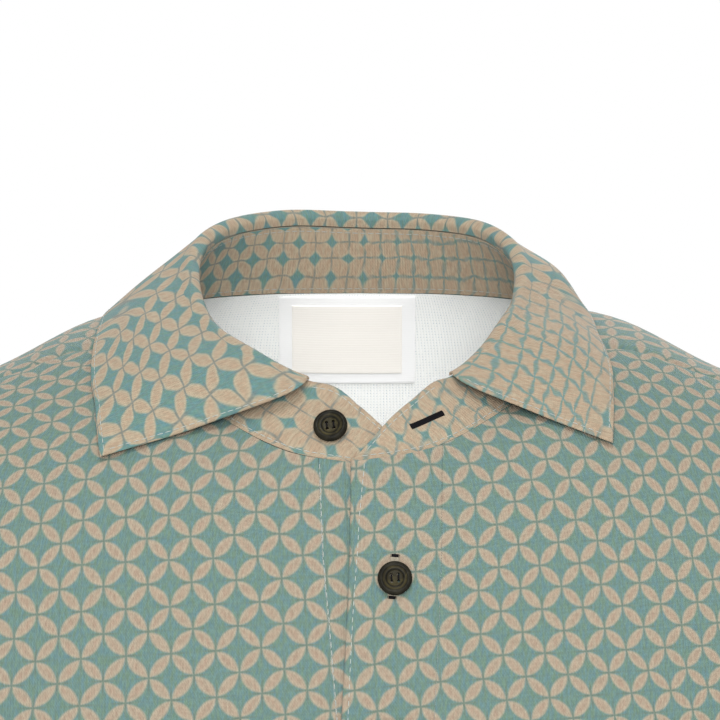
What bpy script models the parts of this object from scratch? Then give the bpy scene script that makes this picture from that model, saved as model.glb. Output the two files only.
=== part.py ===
"""A short-sleeved polo shirt in printed knit, filled out as if worn, with nobody in it.

Sizes are in metres and +Z is up. The front faces -Y and the wearer's left side is +X. The origin is
in the middle of the neck, level with the neck seam at the centre back. Each sewn piece is one closed
wall of cloth, and pieces that are sewn together stop a seam gap apart.
"""

import math

import bmesh
import bpy
import numpy as np
from mathutils import Matrix, Vector

MM = 0.001

# Cloth
BODY_WALL = 1.0 * MM
HEM_WALL = 2.0 * MM
HEM_DEPTH = 20 * MM
HEM_TURN = 0.06  # part of the hem's depth in which the wall thickens
STAND_WALL = 1.2 * MM
LEAF_WALL = 1.2 * MM
SEAM_GAP = 0.3 * MM
STAND_SEAM_GAP = 0.5 * MM

# Torso rings from the hem up to the neck seam, in millimetres. side, front and back are how far the
# ring reaches there, the z columns are its heights there, and square swells its four corners.
RING_COLUMNS = ("side", "front", "back", "side_z", "front_z", "back_z", "square")
RINGS = (
    (208, 113, 110, -705, -705, -705, 0.12),
    (206, 113, 108, -560, -562, -560, 0.12),
    (199, 113, 103, -430, -434, -430, 0.12),
    (203, 119, 110, -315, -320, -315, 0.12),
    (202, 120, 113, -240, -262, -248, 0.12),
    (207, 119.5, 112, -200, -224, -209, 0.13),
    (214, 117.5, 110.5, -156, -193, -172, 0.13),
    (218, 114, 107, -112, -165, -136, 0.125),
    (212, 109.5, 101.5, -76, -139, -104, 0.12),
    (194, 105, 95, -56, -118, -77, 0.11),
    (163, 101, 88, -41, -101, -54, 0.10),
    (130, 97, 80, -27.6, -86, -34, 0.08),
    (100, 92.5, 70, -14.2, -73, -16, 0.04),
    (74, 88, 60, -13, -61, 0, 0.0),
)
UNDERARM_LEVEL = 4
PLACKET_LEVEL = 5
SHOULDER_LEVEL = 8
NECK_LEVEL = 13
NECK_FADE_LEVELS = 3

# Height of the neck seam in millimetres, by the angle from the centre front in degrees
NECK_SEAM = (
    (0, -61), (20, -56.7), (40, -45.9), (60, -33), (75, -22.5),
    (90, -13), (105, -7), (120, -3.5), (150, -0.5), (180, 0),
)

# The shoulder seam lies forward of the ridge by these angles in degrees, shoulder point to neck
SEAM_LEVELS = (8, 10, 11, 12, 13)
SEAM_FORWARD = (5, 8, 11.5, 13, 15)
ARMHOLE_FRONT_ANGLE = 31
ARMHOLE_BACK_ANGLE = 33

# Sleeve, with the cuff ring's centre and half sizes
SLEEVE_START = Vector((0.80, 0.0, -0.60))
SLEEVE_AXIS = Vector((0.5, 0.0, -0.866))
CUFF_CENTRE = Vector((290 * MM, -4 * MM, -292 * MM))
CUFF_HALF_HEIGHT = 57 * MM
CUFF_HALF_DEPTH = 63 * MM
SLEEVE_FULLNESS = 0.9

# Placket: its folded edge and the seam of the strip under it drift sideways down the front (mm)
PLACKET_HEIGHTS = (-224, -150, -120, -95, -61)
PLACKET_EDGE_X = (-6.0, -5.3, -3.6, -2.4, -2.0)
UNDER_SEAM_X = (-7.6, -6.9, -9.4, -11.8, -13.5)
PLACKET_WIDTH = 32 * MM
PLACKET_RISE = 0.6 * MM
PLACKET_WALL = 1.6 * MM
UNDER_OVERLAP = 20 * MM
UNDER_DROP = 1.6 * MM
UNDER_DROP_WIDTH = 30 * MM
UNDER_DROP_LEVELS = 1.2  # how many ring levels below the placket the drop fades out over
UNDER_WALL = 1.1 * MM

# Collar stand: its top edge in plan, and how far that edge rises above the neck seam (mm) by the
# angle round from the centre back, in degrees. Negative angles are the wearer's right.
STAND_TOP_SIDE = 59 * MM
STAND_TOP_FRONT = 75 * MM
STAND_TOP_BACK = 50 * MM
STAND_RISE = (
    (-196, 26), (-180, 26), (-158, 24.4), (-144, 22.4), (-133, 20), (-120, 17), (-105, 16.5),
    (-90, 18), (-70, 20.8), (-50, 23.2), (-25, 24.8), (0, 24), (25, 23.4), (50, 22), (70, 19),
    (90, 16), (102, 14.5), (119, 17.4), (133, 16.8), (144, 17.5), (153, 20.7), (162, 22),
    (172, 25), (182, 26),
)
STAND_START, STAND_END = -195.5, 181.5
STAND_ROUND_LEFT = 28 * MM
STAND_ROUND_RIGHT = 33 * MM
STAND_LAP = 1.8 * MM
STAND_LAP_ANGLES = (-170, -150)
STAND_ROUND_ANGLES = (-150, 130)  # the ends are rounded beyond these
STAND_END_HEIGHT = 0.03  # least height of the ends, as a part of the full height
STAND_END_BUNCHING = 0.3  # how far the columns crowd towards the ends, from 0 to 1

# Collar leaf, by the same angle at its fold: how high it rolls above the stand (mm), and where its
# outer edge lies on the body, as an angle from the centre front (continued past the centre back),
# a ring level and a lift (mm).
# bulge is how far its middle stands out (mm).
LEAF_COLUMNS = ("turn", "roll", "edge_angle", "edge_level", "edge_lift", "bulge")
LEAF = (
    (-163.5, 1.6, -41.7, 11.04, 3.0, -2.5),
    (-150, 3.0, -46.8, 11.30, 2.8, -1.0),
    (-138, 4.0, -53.9, 11.59, 2.5, 0.3),
    (-126, 4.2, -60.5, 11.76, 2.2, 1.0),
    (-114, 4.6, -67.4, 11.92, 2.2, 1.0),
    (-102, 5.0, -74.6, 12.06, 2.0, 1.0),
    (-92, 5.2, -84.6, 12.20, 2.0, 1.0),
    (-84, 5.2, -92.5, 12.24, 2.0, 1.0),
    (-65, 5.6, -114, 12.30, 2.0, 0.5),
    (0, 6.2, -180, 12.0, 2.0, 1.5),
    (65, 5.6, -246, 12.40, 2.0, 3.0),
    (84, 5.2, -263.7, 12.53, 2.0, 2.5),
    (92, 5.0, -276.8, 12.44, 2.0, 0.5),
    (102, 4.6, -287.0, 12.22, 2.0, 1.0),
    (114, 4.2, -297.3, 11.93, 2.2, 1.0),
    (124, 3.6, -303.3, 11.75, 2.5, 0.6),
    (134, 2.6, -310.0, 11.49, 2.8, 0.0),
    (146, 1.6, -315.5, 11.22, 3.0, -1.0),
)
LEAF_ROLL_OUT = 4.5 * MM  # how far the fold stands out where it rolls LEAF_ROLL_FULL high
LEAF_ROLL_FULL = 6 * MM
LEAF_ROLL_LEAST = 1.2 * MM
LEAF_SIDE_UP = 0.55  # height of the fold's two sides, as a part of the roll
LEAF_SIDE_IN = 0.3 * MM
LEAF_CREST_OUT = 0.35  # how far out the crest lies, as a part of the fold
LEAF_BULGE_OUT = 0.5  # outward part of the bulge, against 1 upward
LEAF_STEPS = (0, 1, 1.5, 2, 2.5, 3, 3.35, 3.7, 4, 4.33, 4.67, 5)

# Buttons
BUTTON_RADIUS = 6.0 * MM
BUTTON_THICKNESS = 2.6 * MM
BUTTON_WELL_RADIUS = 2.9 * MM
BUTTON_WELL_DEPTH = 0.8 * MM
BUTTON_HOLE_RADIUS = 0.55 * MM
BUTTON_HOLE_SPREAD = 1.35 * MM
BUTTON_CLEARANCE = 0.35 * MM
# The rim's section from back to front: how far each point is inside the radius, and its height (mm)
BUTTON_RIM = ((0.9, 0), (0.2, 0.5), (0, 1.3), (0.5, 2.35), (1.3, 2.6))
BUTTON_WELL_LIP = 0.4 * MM
BUTTON_WELL_LIP_DEPTH = 0.35 * MM
PLACKET_BUTTON_X = 13.2 * MM
PLACKET_BUTTON_HEIGHTS = (-101.7 * MM, -156.7 * MM)
STAND_BUTTON_ANGLE = -172.2
STAND_BUTTON_UP = 0.43
STAND_PATCH_TURN = 1  # half size of the patch of stand that the button faces out of, degrees
STAND_PATCH_UP = 0.1

# Neck label and the half patch behind it: centre, width, top and bottom
LABEL_CENTRE = -3.8 * MM
PATCH_SIZE = (52 * MM, -0.8 * MM, -34 * MM)
LABEL_SIZE = (42 * MM, -4.2 * MM, -30 * MM)
LABEL_WALL = 1.0 * MM

# How finely the pieces are divided
SKIRT_LEVELS = (0, 0.14, 0.155, 0.6, 1.1, 1.6, 2.1, 2.7, 3.35)
YOKE_LEVELS = (8.6, 9.2, 9.8, 10.4, 11.0, 11.6, 12.1, 12.55, 13.0)
ARMHOLE_STEPS = 12
HALF_FRONT_COLUMNS = 11
PLACKET_COLUMNS = 3
BACK_COLUMNS = 24
SLEEVE_ROWS = 8
STAND_COLUMNS = 56
STAND_ROWS = 3
LEAF_SECTIONS = 48
LABEL_ROWS = 5
LABEL_COLUMNS = 8
BUTTON_SIDES = 24
HOLE_SIDES = 8
LEVEL_SAMPLES = 1301
LEVEL_TOLERANCE = 1e-6
SLOPE_ANGLE = 0.5
SLOPE_LEVEL = 0.02
SHARP_ANGLE = 40

CLOTH_COLOUR = (0.30, 0.36, 0.31, 1)
BUTTON_COLOUR = (0.022, 0.019, 0.015, 1)
PATCH_COLOUR = (0.78, 0.77, 0.74, 1)
LABEL_COLOUR = (0.84, 0.80, 0.75, 1)
CLOTH_ROUGHNESS = 0.85
BUTTON_ROUGHNESS = 0.35


def smooth_curve(keys, values, at):
    """Values at points along a table, through every row, with even slopes between the rows."""
    keys = np.asarray(keys, float)
    values = np.asarray(values, float)
    slopes = np.gradient(values, keys)
    at = np.clip(at, keys[0], keys[-1])
    row = np.clip(np.searchsorted(keys, at, side="right") - 1, 0, len(keys) - 2)
    span = keys[row + 1] - keys[row]
    t = (at - keys[row]) / span
    start = (2 * t**3 - 3 * t**2 + 1) * values[row] + (t**3 - 2 * t**2 + t) * span * slopes[row]
    end = (3 * t**2 - 2 * t**3) * values[row + 1] + (t**3 - t**2) * span * slopes[row + 1]
    return start + end


def smooth_step(at, low, high):
    t = np.clip((at - low) / (high - low), 0, 1)
    return t * t * (3 - 2 * t)


def ring_column(name, level):
    column = RING_COLUMNS.index(name)
    return smooth_curve(range(len(RINGS)), [row[column] for row in RINGS], level)


def neck_seam_height(angle):
    """Height in mm of the neck seam at an angle in degrees from the centre front."""
    turn = np.abs((np.asarray(angle, float) + 180) % 360 - 180)
    return smooth_curve(*zip(*NECK_SEAM), turn)


def ring_height(angle, level):
    """Height in mm on a ring, falling from the side towards the front and the back."""
    cosine = np.cos(np.radians(angle))
    side_z = ring_column("side_z", level)
    middle_z = np.where(cosine > 0, ring_column("front_z", level), ring_column("back_z", level))
    return side_z + (middle_z - side_z) * cosine**2


def torso(angle, level):
    """Points of the torso's outer surface. angle runs from the centre front towards the wearer's left."""
    angle = np.asarray(angle, float)
    level = np.asarray(level, float)
    sine = np.sin(np.radians(angle))
    cosine = np.cos(np.radians(angle))
    square = ring_column("square", level)
    reach = np.where(cosine > 0, ring_column("front", level), ring_column("back", level))
    x = ring_column("side", level) * sine * (1 + square * cosine**2)
    y = -reach * cosine * (1 + square * sine**2)
    at_neck = neck_seam_height(angle) - ring_height(angle, NECK_LEVEL)
    near_neck = smooth_step(level, NECK_LEVEL - NECK_FADE_LEVELS, NECK_LEVEL)
    z = ring_height(angle, level) + at_neck * near_neck
    return np.stack(np.broadcast_arrays(x, y, z), axis=-1) * MM


def step_round(angle, level):
    """How far a point moves round its ring from one slope angle before it to one after it."""
    angle = np.asarray(angle, float)
    return torso(angle + SLOPE_ANGLE, level) - torso(angle - SLOPE_ANGLE, level)


def torso_normal(angle, level):
    """Unit vectors pointing out of the torso."""
    level = np.asarray(level, float)
    along = step_round(angle, level)
    low = np.maximum(level - SLOPE_LEVEL, 0)
    high = np.minimum(level + SLOPE_LEVEL, NECK_LEVEL)
    up = torso(angle, high) - torso(angle, low)
    normal = np.cross(along, up)
    return normal / np.linalg.norm(normal, axis=-1, keepdims=True)


def on_torso(angle, level, lift):
    """Points a distance out from the torso's outer surface."""
    return torso(angle, level) + torso_normal(angle, level) * np.asarray(lift)[..., None]


def angle_at_x(x, level):
    """Angle on a ring, near the centre front, whose point lies at x metres."""
    reach = ring_column("side", level) * (1 + ring_column("square", level)) * MM
    return np.degrees(np.arcsin(x / reach))


def level_at(column, z):
    """Level whose ring passes a height in metres, at the centre front or the centre back."""
    levels = np.linspace(0, NECK_LEVEL, LEVEL_SAMPLES)
    return np.interp(z / MM, ring_column(column, levels), levels)


def grid_normals(points, wrap=False):
    """Unit normals of a grid of points, out of the side that its rows and columns turn round."""
    if wrap:
        padded = np.concatenate([points[:, -1:], points, points[:, :1]], axis=1)
        across = (padded[:, 2:] - padded[:, :-2]) / 2
    else:
        across = np.gradient(points, axis=1)
    normal = np.cross(across, np.gradient(points, axis=0))
    return normal / np.linalg.norm(normal, axis=-1, keepdims=True)


def wall_material(name, colour, roughness):
    material = bpy.data.materials.new(name)
    material.use_nodes = True
    shader = material.node_tree.nodes["Principled BSDF"]
    shader.inputs["Base Color"].default_value = colour
    shader.inputs["Roughness"].default_value = roughness
    material.diffuse_color = colour
    return material


def add_object(name, mesh, colour, roughness=CLOTH_ROUGHNESS):
    mesh.materials.append(wall_material(name, colour, roughness))
    for polygon in mesh.polygons:
        polygon.use_smooth = True
    mesh.set_sharp_from_angle(angle=math.radians(SHARP_ANGLE))
    piece = bpy.data.objects.new(name, mesh)
    bpy.context.scene.collection.objects.link(piece)
    return piece


def wall(name, outer, inner, colour, wrap=False, present=None):
    """A closed wall between two grids of points. Cells where present is False are left out."""
    rows, columns = outer.shape[:2]
    cells = columns if wrap else columns - 1
    if present is None:
        present = np.ones((rows - 1, cells), bool)
    bm = bmesh.new()
    outside = [[bm.verts.new(point) for point in row] for row in outer]
    inside = [[bm.verts.new(point) for point in row] for row in inner]

    def filled(row, column):
        if not 0 <= row < rows - 1:
            return False
        if wrap:
            return present[row, column % cells]
        return 0 <= column < cells and present[row, column]

    for row in range(rows - 1):
        for column in range(cells):
            if not present[row, column]:
                continue
            corners = [(row, column), (row, column + 1), (row + 1, column + 1), (row + 1, column)]
            corners = [(r, c % columns) for r, c in corners]
            bm.faces.new([outside[r][c] for r, c in corners])
            bm.faces.new([inside[r][c] for r, c in reversed(corners)])
            beyond = ((row - 1, column), (row, column + 1), (row + 1, column), (row, column - 1))
            for side, neighbour in enumerate(beyond):
                if filled(*neighbour):
                    continue
                first, second = corners[side], corners[(side + 1) % 4]
                bm.faces.new(
                    (outside[second[0]][second[1]], outside[first[0]][first[1]],
                     inside[first[0]][first[1]], inside[second[0]][second[1]])
                )
    bmesh.ops.delete(bm, geom=[v for v in bm.verts if not v.link_faces], context="VERTS")
    if bm.calc_volume(signed=True) < 0:
        bmesh.ops.reverse_faces(bm, faces=bm.faces)
    mesh = bpy.data.meshes.new(name)
    bm.to_mesh(mesh)
    bm.free()
    return add_object(name, mesh, colour)


def body_levels():
    """Levels of the rows of both body panels, and how far round the armhole each one is (0 to 1)."""
    steps = np.arange(ARMHOLE_STEPS + 1) / ARMHOLE_STEPS
    rise = (SHOULDER_LEVEL - UNDERARM_LEVEL) * (1 - np.cos(np.pi * steps)) / 2
    levels = np.concatenate([SKIRT_LEVELS, UNDERARM_LEVEL + rise, YOKE_LEVELS])
    round_armhole = np.concatenate([np.zeros(len(SKIRT_LEVELS)), steps, np.ones(len(YOKE_LEVELS))])
    return levels, round_armhole


def seam_angles(level, round_armhole):
    """Angles of the front's and the back's side edge: side seam, armhole, then shoulder seam."""
    forward = smooth_curve(SEAM_LEVELS, SEAM_FORWARD, level) * round_armhole**2
    hole = np.sin(np.pi * round_armhole)
    front = 90 - forward - ARMHOLE_FRONT_ANGLE * hole
    back = 90 - forward + ARMHOLE_BACK_ANGLE * hole
    return front, back


def gap_angle(angle, level):
    """The angle that moves a point half a seam gap round its ring."""
    one_degree = step_round(angle, level) / (2 * SLOPE_ANGLE)
    return SEAM_GAP / 2 / np.linalg.norm(one_degree, axis=-1)


def placket_lines(level):
    """x of the under strip's seam, the placket's folded edge and its sewn edge, by level."""
    height = ring_column("front_z", level)
    under_seam = np.interp(height, PLACKET_HEIGHTS, UNDER_SEAM_X) * MM
    edge = np.interp(height, PLACKET_HEIGHTS, PLACKET_EDGE_X) * MM
    return under_seam, edge, edge + PLACKET_WIDTH


def under_side_drop(x, level):
    """How far the wearer's right front sinks to pass under the placket."""
    seam, _, sewn_edge = placket_lines(level)
    left = smooth_step(x, seam - UNDER_DROP_WIDTH, seam)
    right = smooth_step(x, sewn_edge, seam)
    fade = smooth_step(level, PLACKET_LEVEL - UNDER_DROP_LEVELS, PLACKET_LEVEL)
    return UNDER_DROP * fade * np.where(x < seam, left, right)


def hem_walls(levels):
    return np.where(levels <= SKIRT_LEVELS[1], HEM_WALL, BODY_WALL)


def torso_wall(angles, levels, lift, thickness):
    """Outer and inner grids of a wall on the torso."""
    outer = on_torso(angles, levels, lift)
    inner = on_torso(angles, levels, lift - thickness)
    return outer, inner


def front_body():
    levels, round_armhole = body_levels()
    edge, _ = seam_angles(levels, round_armhole)
    edge = edge - gap_angle(edge, levels)
    under_seam, _, sewn_edge = placket_lines(levels)
    left = angle_at_x(under_seam - SEAM_GAP / 2, levels)
    right = angle_at_x(sewn_edge + SEAM_GAP / 2, levels)
    half = np.linspace(0, 1, HALF_FRONT_COLUMNS + 1)
    strip = np.linspace(0, 1, PLACKET_COLUMNS + 1)[1:-1]
    left_half = -edge[:, None] + (left + edge)[:, None] * half
    middle = left[:, None] + (right - left)[:, None] * strip
    right_half = right[:, None] + (edge - right)[:, None] * half
    angles = np.concatenate([left_half, middle, right_half], axis=1)
    level_grid = np.repeat(levels[:, None], angles.shape[1], axis=1)
    x = torso(angles, level_grid)[..., 0]
    drop = under_side_drop(x, level_grid)
    outer, inner = torso_wall(angles, level_grid, -drop, hem_walls(level_grid))
    present = np.ones((len(levels) - 1, angles.shape[1] - 1), bool)
    above = levels[:-1] >= PLACKET_LEVEL - LEVEL_TOLERANCE
    present[above, HALF_FRONT_COLUMNS:HALF_FRONT_COLUMNS + PLACKET_COLUMNS] = False
    wall("front_body", outer, inner, CLOTH_COLOUR, present=present)


def back_body():
    levels, round_armhole = body_levels()
    _, edge = seam_angles(levels, round_armhole)
    edge = edge + gap_angle(edge, levels)
    across = np.linspace(0, 1, BACK_COLUMNS + 1)
    angles = edge[:, None] + (360 - 2 * edge)[:, None] * across
    level_grid = np.repeat(levels[:, None], angles.shape[1], axis=1)
    outer, inner = torso_wall(angles, level_grid, np.zeros(angles.shape), hem_walls(level_grid))
    wall("back_body", outer, inner, CLOTH_COLOUR)


def armhole_loop():
    """Points round the wearer's left armhole: shoulder, front, underarm, back."""
    levels, round_armhole = body_levels()
    rows = slice(len(SKIRT_LEVELS), len(SKIRT_LEVELS) + ARMHOLE_STEPS + 1)
    front, back = seam_angles(levels[rows], round_armhole[rows])
    front_side = torso(front, levels[rows])[::-1]
    back_side = torso(back, levels[rows])[1:-1]
    return np.concatenate([front_side, back_side])


def cuff_loop(turns):
    """Points of the cuff ring at fractions of a turn from its top, towards the front."""
    up = Vector((-SLEEVE_AXIS.z, 0, SLEEVE_AXIS.x)).normalized()
    front = Vector((0, -1, 0))
    round_cuff = 2 * np.pi * turns[:, None]
    height = CUFF_HALF_HEIGHT * np.cos(round_cuff) * np.array(up)
    depth = CUFF_HALF_DEPTH * np.sin(round_cuff) * np.array(front)
    return np.array(CUFF_CENTRE) + height + depth


def loop_turns(loop):
    """How far round the loop each point is, with the underarm exactly half way."""
    steps = np.linalg.norm(np.roll(loop, -1, axis=0) - loop, axis=1)
    reach = np.concatenate([[0], np.cumsum(steps)])
    half = ARMHOLE_STEPS
    front = reach[: half + 1] / reach[half] / 2
    back = 0.5 + (reach[half + 1:-1] - reach[half]) / (reach[-1] - reach[half]) / 2
    return np.concatenate([front, back])


def sleeve_grid():
    """Rows from the armhole to the cuff's edge, with how far each row's wall thickens for the hem."""
    start = armhole_loop()
    turns = loop_turns(start)
    cuff = cuff_loop(turns)
    axis = np.array(SLEEVE_AXIS.normalized())
    hem_top = cuff - axis * HEM_DEPTH
    outward = np.array(SLEEVE_START.normalized())
    start = start + outward * SEAM_GAP
    length = np.linalg.norm(hem_top - start, axis=1, keepdims=True) * SLEEVE_FULLNESS
    rows = []
    for t in np.linspace(0, 1, SLEEVE_ROWS + 1):
        leave = (2 * t**3 - 3 * t**2 + 1) * start + (t**3 - 2 * t**2 + t) * outward * length
        arrive = (3 * t**2 - 2 * t**3) * hem_top + (t**3 - t**2) * axis * length
        rows.append(leave + arrive)
    rows.append(hem_top + axis * HEM_DEPTH * HEM_TURN)
    rows.append(cuff)
    walls = np.full(len(rows), BODY_WALL)
    walls[-2:] = HEM_WALL
    return np.array(rows), walls


def sleeve(name, side):
    outer, walls = sleeve_grid()
    inner = outer - grid_normals(outer, wrap=True) * walls[:, None, None]
    mirror = np.array([side, 1, 1])
    wall(name, outer * mirror, inner * mirror, CLOTH_COLOUR, wrap=True)


def placket_rows():
    """Levels of the strips' rows, starting a seam gap above the foot of the slit."""
    levels, _ = body_levels()
    levels = levels[levels >= PLACKET_LEVEL - LEVEL_TOLERANCE].copy()
    levels[0] = level_at("front_z", ring_column("front_z", PLACKET_LEVEL) * MM + SEAM_GAP)
    return levels


def placket_strip(name, left, right, levels, lift, thickness):
    across = np.linspace(0, 1, PLACKET_COLUMNS + 1)
    x = left[:, None] + (right - left)[:, None] * across
    level_grid = np.repeat(levels[:, None], len(across), axis=1)
    angles = angle_at_x(x, level_grid)
    lifts = np.full(angles.shape, lift)
    outer, inner = torso_wall(angles, level_grid, lifts, thickness)
    wall(name, outer, inner, CLOTH_COLOUR)


def plackets():
    levels = placket_rows()
    under_seam, edge, sewn_edge = placket_lines(levels)
    placket_strip(
        "placket_top", edge, sewn_edge - SEAM_GAP / 2, levels, PLACKET_RISE, PLACKET_WALL
    )
    placket_strip(
        "placket_under", under_seam + SEAM_GAP / 2, edge + UNDER_OVERLAP, levels, -UNDER_DROP, UNDER_WALL
    )


def plan_point(turn, side, front, back):
    """x and y at an angle from the centre back, on an oval with its own front and back reach."""
    sine = np.sin(np.radians(turn))
    cosine = np.cos(np.radians(turn))
    return side * sine, np.where(cosine > 0, back, front) * cosine


def stand_end_shape(turn):
    """How much of its full height the stand has, rounded off towards both of its ends."""
    x = STAND_TOP_SIDE * np.sin(np.radians(turn))
    end_x = STAND_TOP_SIDE * np.sin(np.radians([STAND_START, STAND_END]))
    left = np.where(turn < STAND_ROUND_ANGLES[0], end_x[0] - x, STAND_ROUND_LEFT)
    right = np.where(turn > STAND_ROUND_ANGLES[1], x - end_x[1], STAND_ROUND_RIGHT)
    left = np.clip(left / STAND_ROUND_LEFT, STAND_END_HEIGHT, 1)
    right = np.clip(right / STAND_ROUND_RIGHT, STAND_END_HEIGHT, 1)
    return np.sin(np.pi / 2 * left) * np.sin(np.pi / 2 * right)


def stand_top(turn):
    """The top edge of the stand's outer face."""
    x, y = plan_point(turn, STAND_TOP_SIDE, STAND_TOP_FRONT, STAND_TOP_BACK)
    rise = smooth_curve(*zip(*STAND_RISE), turn)
    z = (neck_seam_height(180 - np.asarray(turn)) + rise) * MM
    return np.stack([x, y, z], axis=-1)


def stand_points(turn, up):
    """Points of the stand's outer face, from the neck seam (up = 0) to its top edge (up = 1)."""
    turn = np.asarray(turn, float)
    seam = torso(180 - turn, NECK_LEVEL)
    full = stand_top(turn)
    lean = (full - seam) / np.linalg.norm(full - seam, axis=-1, keepdims=True)
    seam = seam + lean * STAND_SEAM_GAP
    height = up * stand_end_shape(turn)
    points = seam + (full - seam) * height[..., None]
    inward = points * np.array([-1, -1, 0])
    inward = inward / np.linalg.norm(inward, axis=-1, keepdims=True)
    lap = STAND_LAP * smooth_step(turn, STAND_LAP_ANGLES[1], STAND_LAP_ANGLES[0])
    return points + inward * lap[..., None]


def collar_stand():
    even = np.linspace(0, 1, STAND_COLUMNS + 1)
    bunched = (1 - np.cos(np.pi * even)) / 2
    spread = even + (bunched - even) * STAND_END_BUNCHING
    turns = STAND_END + (STAND_START - STAND_END) * spread
    ups = np.linspace(0, 1, STAND_ROWS + 1)
    turn_grid, up_grid = np.meshgrid(turns, ups)
    outer = stand_points(turn_grid, up_grid)
    inner = outer - grid_normals(outer) * STAND_WALL
    wall("collar_stand", outer, inner, CLOTH_COLOUR)


def leaf_column(name, turn):
    column = LEAF_COLUMNS.index(name)
    return smooth_curve([row[0] for row in LEAF], [row[column] for row in LEAF], turn)


def leaf_points(turn, steps):
    """One section of the collar leaf: up from the stand, over the fold and down to its outer edge."""
    top = stand_top(turn)
    outward = np.array([top[0], top[1], 0]) / math.hypot(top[0], top[1])
    upward = np.array([0, 0, 1.0])
    roll = float(leaf_column("roll", turn)) * MM
    lift = leaf_column("edge_lift", turn) * MM
    edge = on_torso(leaf_column("edge_angle", turn), leaf_column("edge_level", turn), lift)
    roll_out = LEAF_ROLL_OUT * roll / LEAF_ROLL_FULL + LEAF_ROLL_LEAST
    start = top + upward * STAND_SEAM_GAP - outward * STAND_WALL
    inner_side = start + upward * roll * LEAF_SIDE_UP - outward * LEAF_SIDE_IN
    crest = top + upward * roll + outward * roll_out * LEAF_CREST_OUT
    shoulder = top + upward * roll * LEAF_SIDE_UP + outward * roll_out
    bulge = (outward * LEAF_BULGE_OUT + upward) * leaf_column("bulge", turn) * MM
    middle = (shoulder + edge) / 2 + bulge
    knots = np.array([start, inner_side, crest, shoulder, middle, edge])
    lengths = np.concatenate([[0], np.cumsum(np.linalg.norm(np.diff(knots, axis=0), axis=1))])
    at = np.interp(steps, range(len(knots)), lengths)
    return np.stack([smooth_curve(lengths, knots[:, axis], at) for axis in range(3)], axis=-1)


def collar_leaf():
    turns = np.linspace(LEAF[0][0], LEAF[-1][0], LEAF_SECTIONS + 1)
    outer = np.stack([leaf_points(turn, LEAF_STEPS) for turn in turns], axis=1)
    inner = outer - grid_normals(outer) * LEAF_WALL
    wall("collar_leaf", outer, inner, CLOTH_COLOUR)


def button_profile():
    """Half section of a button with a rounded rim and a sunken middle, from its back to its front."""
    rim = [(BUTTON_RADIUS - inset * MM, height * MM) for inset, height in BUTTON_RIM]
    lip = (BUTTON_WELL_RADIUS + BUTTON_WELL_LIP, BUTTON_THICKNESS - BUTTON_WELL_LIP_DEPTH)
    well = (BUTTON_WELL_RADIUS - BUTTON_WELL_LIP, BUTTON_THICKNESS - BUTTON_WELL_DEPTH)
    return rim + [lip, well]


def button_mesh():
    """A four-hole button lying on z = 0, turned from its profile and drilled."""
    bm = bmesh.new()
    spin = [2 * math.pi * step / BUTTON_SIDES for step in range(BUTTON_SIDES)]
    rings = []
    for radius, height in button_profile():
        ring = [(radius * math.cos(a), radius * math.sin(a), height) for a in spin]
        rings.append([bm.verts.new(point) for point in ring])
    for low, high in zip(rings, rings[1:]):
        for step in range(BUTTON_SIDES):
            after = (step + 1) % BUTTON_SIDES
            bm.faces.new((low[step], low[after], high[after], high[step]))
    bm.faces.new(list(reversed(rings[0])))
    bm.faces.new(rings[-1])
    mesh = bpy.data.meshes.new("button")
    bm.to_mesh(mesh)
    bm.free()
    return mesh


def drill_button(button):
    """Cuts the four thread holes with one cutter of four posts."""
    bm = bmesh.new()
    for quarter in range(4):
        turn = math.radians(45 + 90 * quarter)
        x = BUTTON_HOLE_SPREAD * math.cos(turn)
        y = BUTTON_HOLE_SPREAD * math.sin(turn)
        place = Matrix.Translation((x, y, BUTTON_THICKNESS / 2))
        bmesh.ops.create_cone(
            bm, cap_ends=True, segments=HOLE_SIDES, radius1=BUTTON_HOLE_RADIUS, radius2=BUTTON_HOLE_RADIUS,
            depth=3 * BUTTON_THICKNESS, matrix=place,
        )
    mesh = bpy.data.meshes.new(button.name + "_drill")
    bm.to_mesh(mesh)
    bm.free()
    cutter = bpy.data.objects.new(mesh.name, mesh)
    bpy.context.scene.collection.objects.link(cutter)
    cutter.hide_render = True
    cutter.display_type = "WIRE"
    cutter.matrix_world = button.matrix_world
    cut = button.modifiers.new("thread holes", "BOOLEAN")
    cut.operation = "DIFFERENCE"
    cut.solver = "EXACT"
    cut.object = cutter


def place_button(name, point, normal):
    """A button whose back stands just clear of the cloth at a point, facing along the normal."""
    button = add_object(name, button_mesh(), BUTTON_COLOUR, BUTTON_ROUGHNESS)
    facing = Vector(normal).to_track_quat("Z", "Y")
    base = Vector(point) + Vector(normal) * BUTTON_CLEARANCE
    button.matrix_world = Matrix.Translation(base) @ facing.to_matrix().to_4x4()
    drill_button(button)


def buttons():
    names = ("button_placket_upper", "button_placket_lower")
    for name, height in zip(names, PLACKET_BUTTON_HEIGHTS):
        level = level_at("front_z", height)
        angle = angle_at_x(PLACKET_BUTTON_X, level)
        place_button(name, on_torso(angle, level, PLACKET_RISE), torso_normal(angle, level))
    turns = STAND_BUTTON_ANGLE - STAND_PATCH_TURN * np.array([-1, 0, 1])
    ups = STAND_BUTTON_UP + STAND_PATCH_UP * np.array([-1, 0, 1])
    patch = stand_points(*np.meshgrid(turns, ups))
    place_button("button_stand", patch[1, 1], grid_normals(patch)[1, 1])


def label_wall(name, size, depth, colour):
    """A flat patch that follows the inside of the back, below the neck seam."""
    width, top, bottom = size
    levels = level_at("back_z", np.linspace(bottom, top, LABEL_ROWS + 1))
    x = LABEL_CENTRE + np.linspace(width / 2, -width / 2, LABEL_COLUMNS + 1)
    level_grid = np.repeat(levels[:, None], len(x), axis=1)
    angles = 180 - angle_at_x(x, level_grid)
    outer, inner = torso_wall(angles, level_grid, np.full(angles.shape, -depth), LABEL_WALL)
    wall(name, outer, inner, colour)


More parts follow.
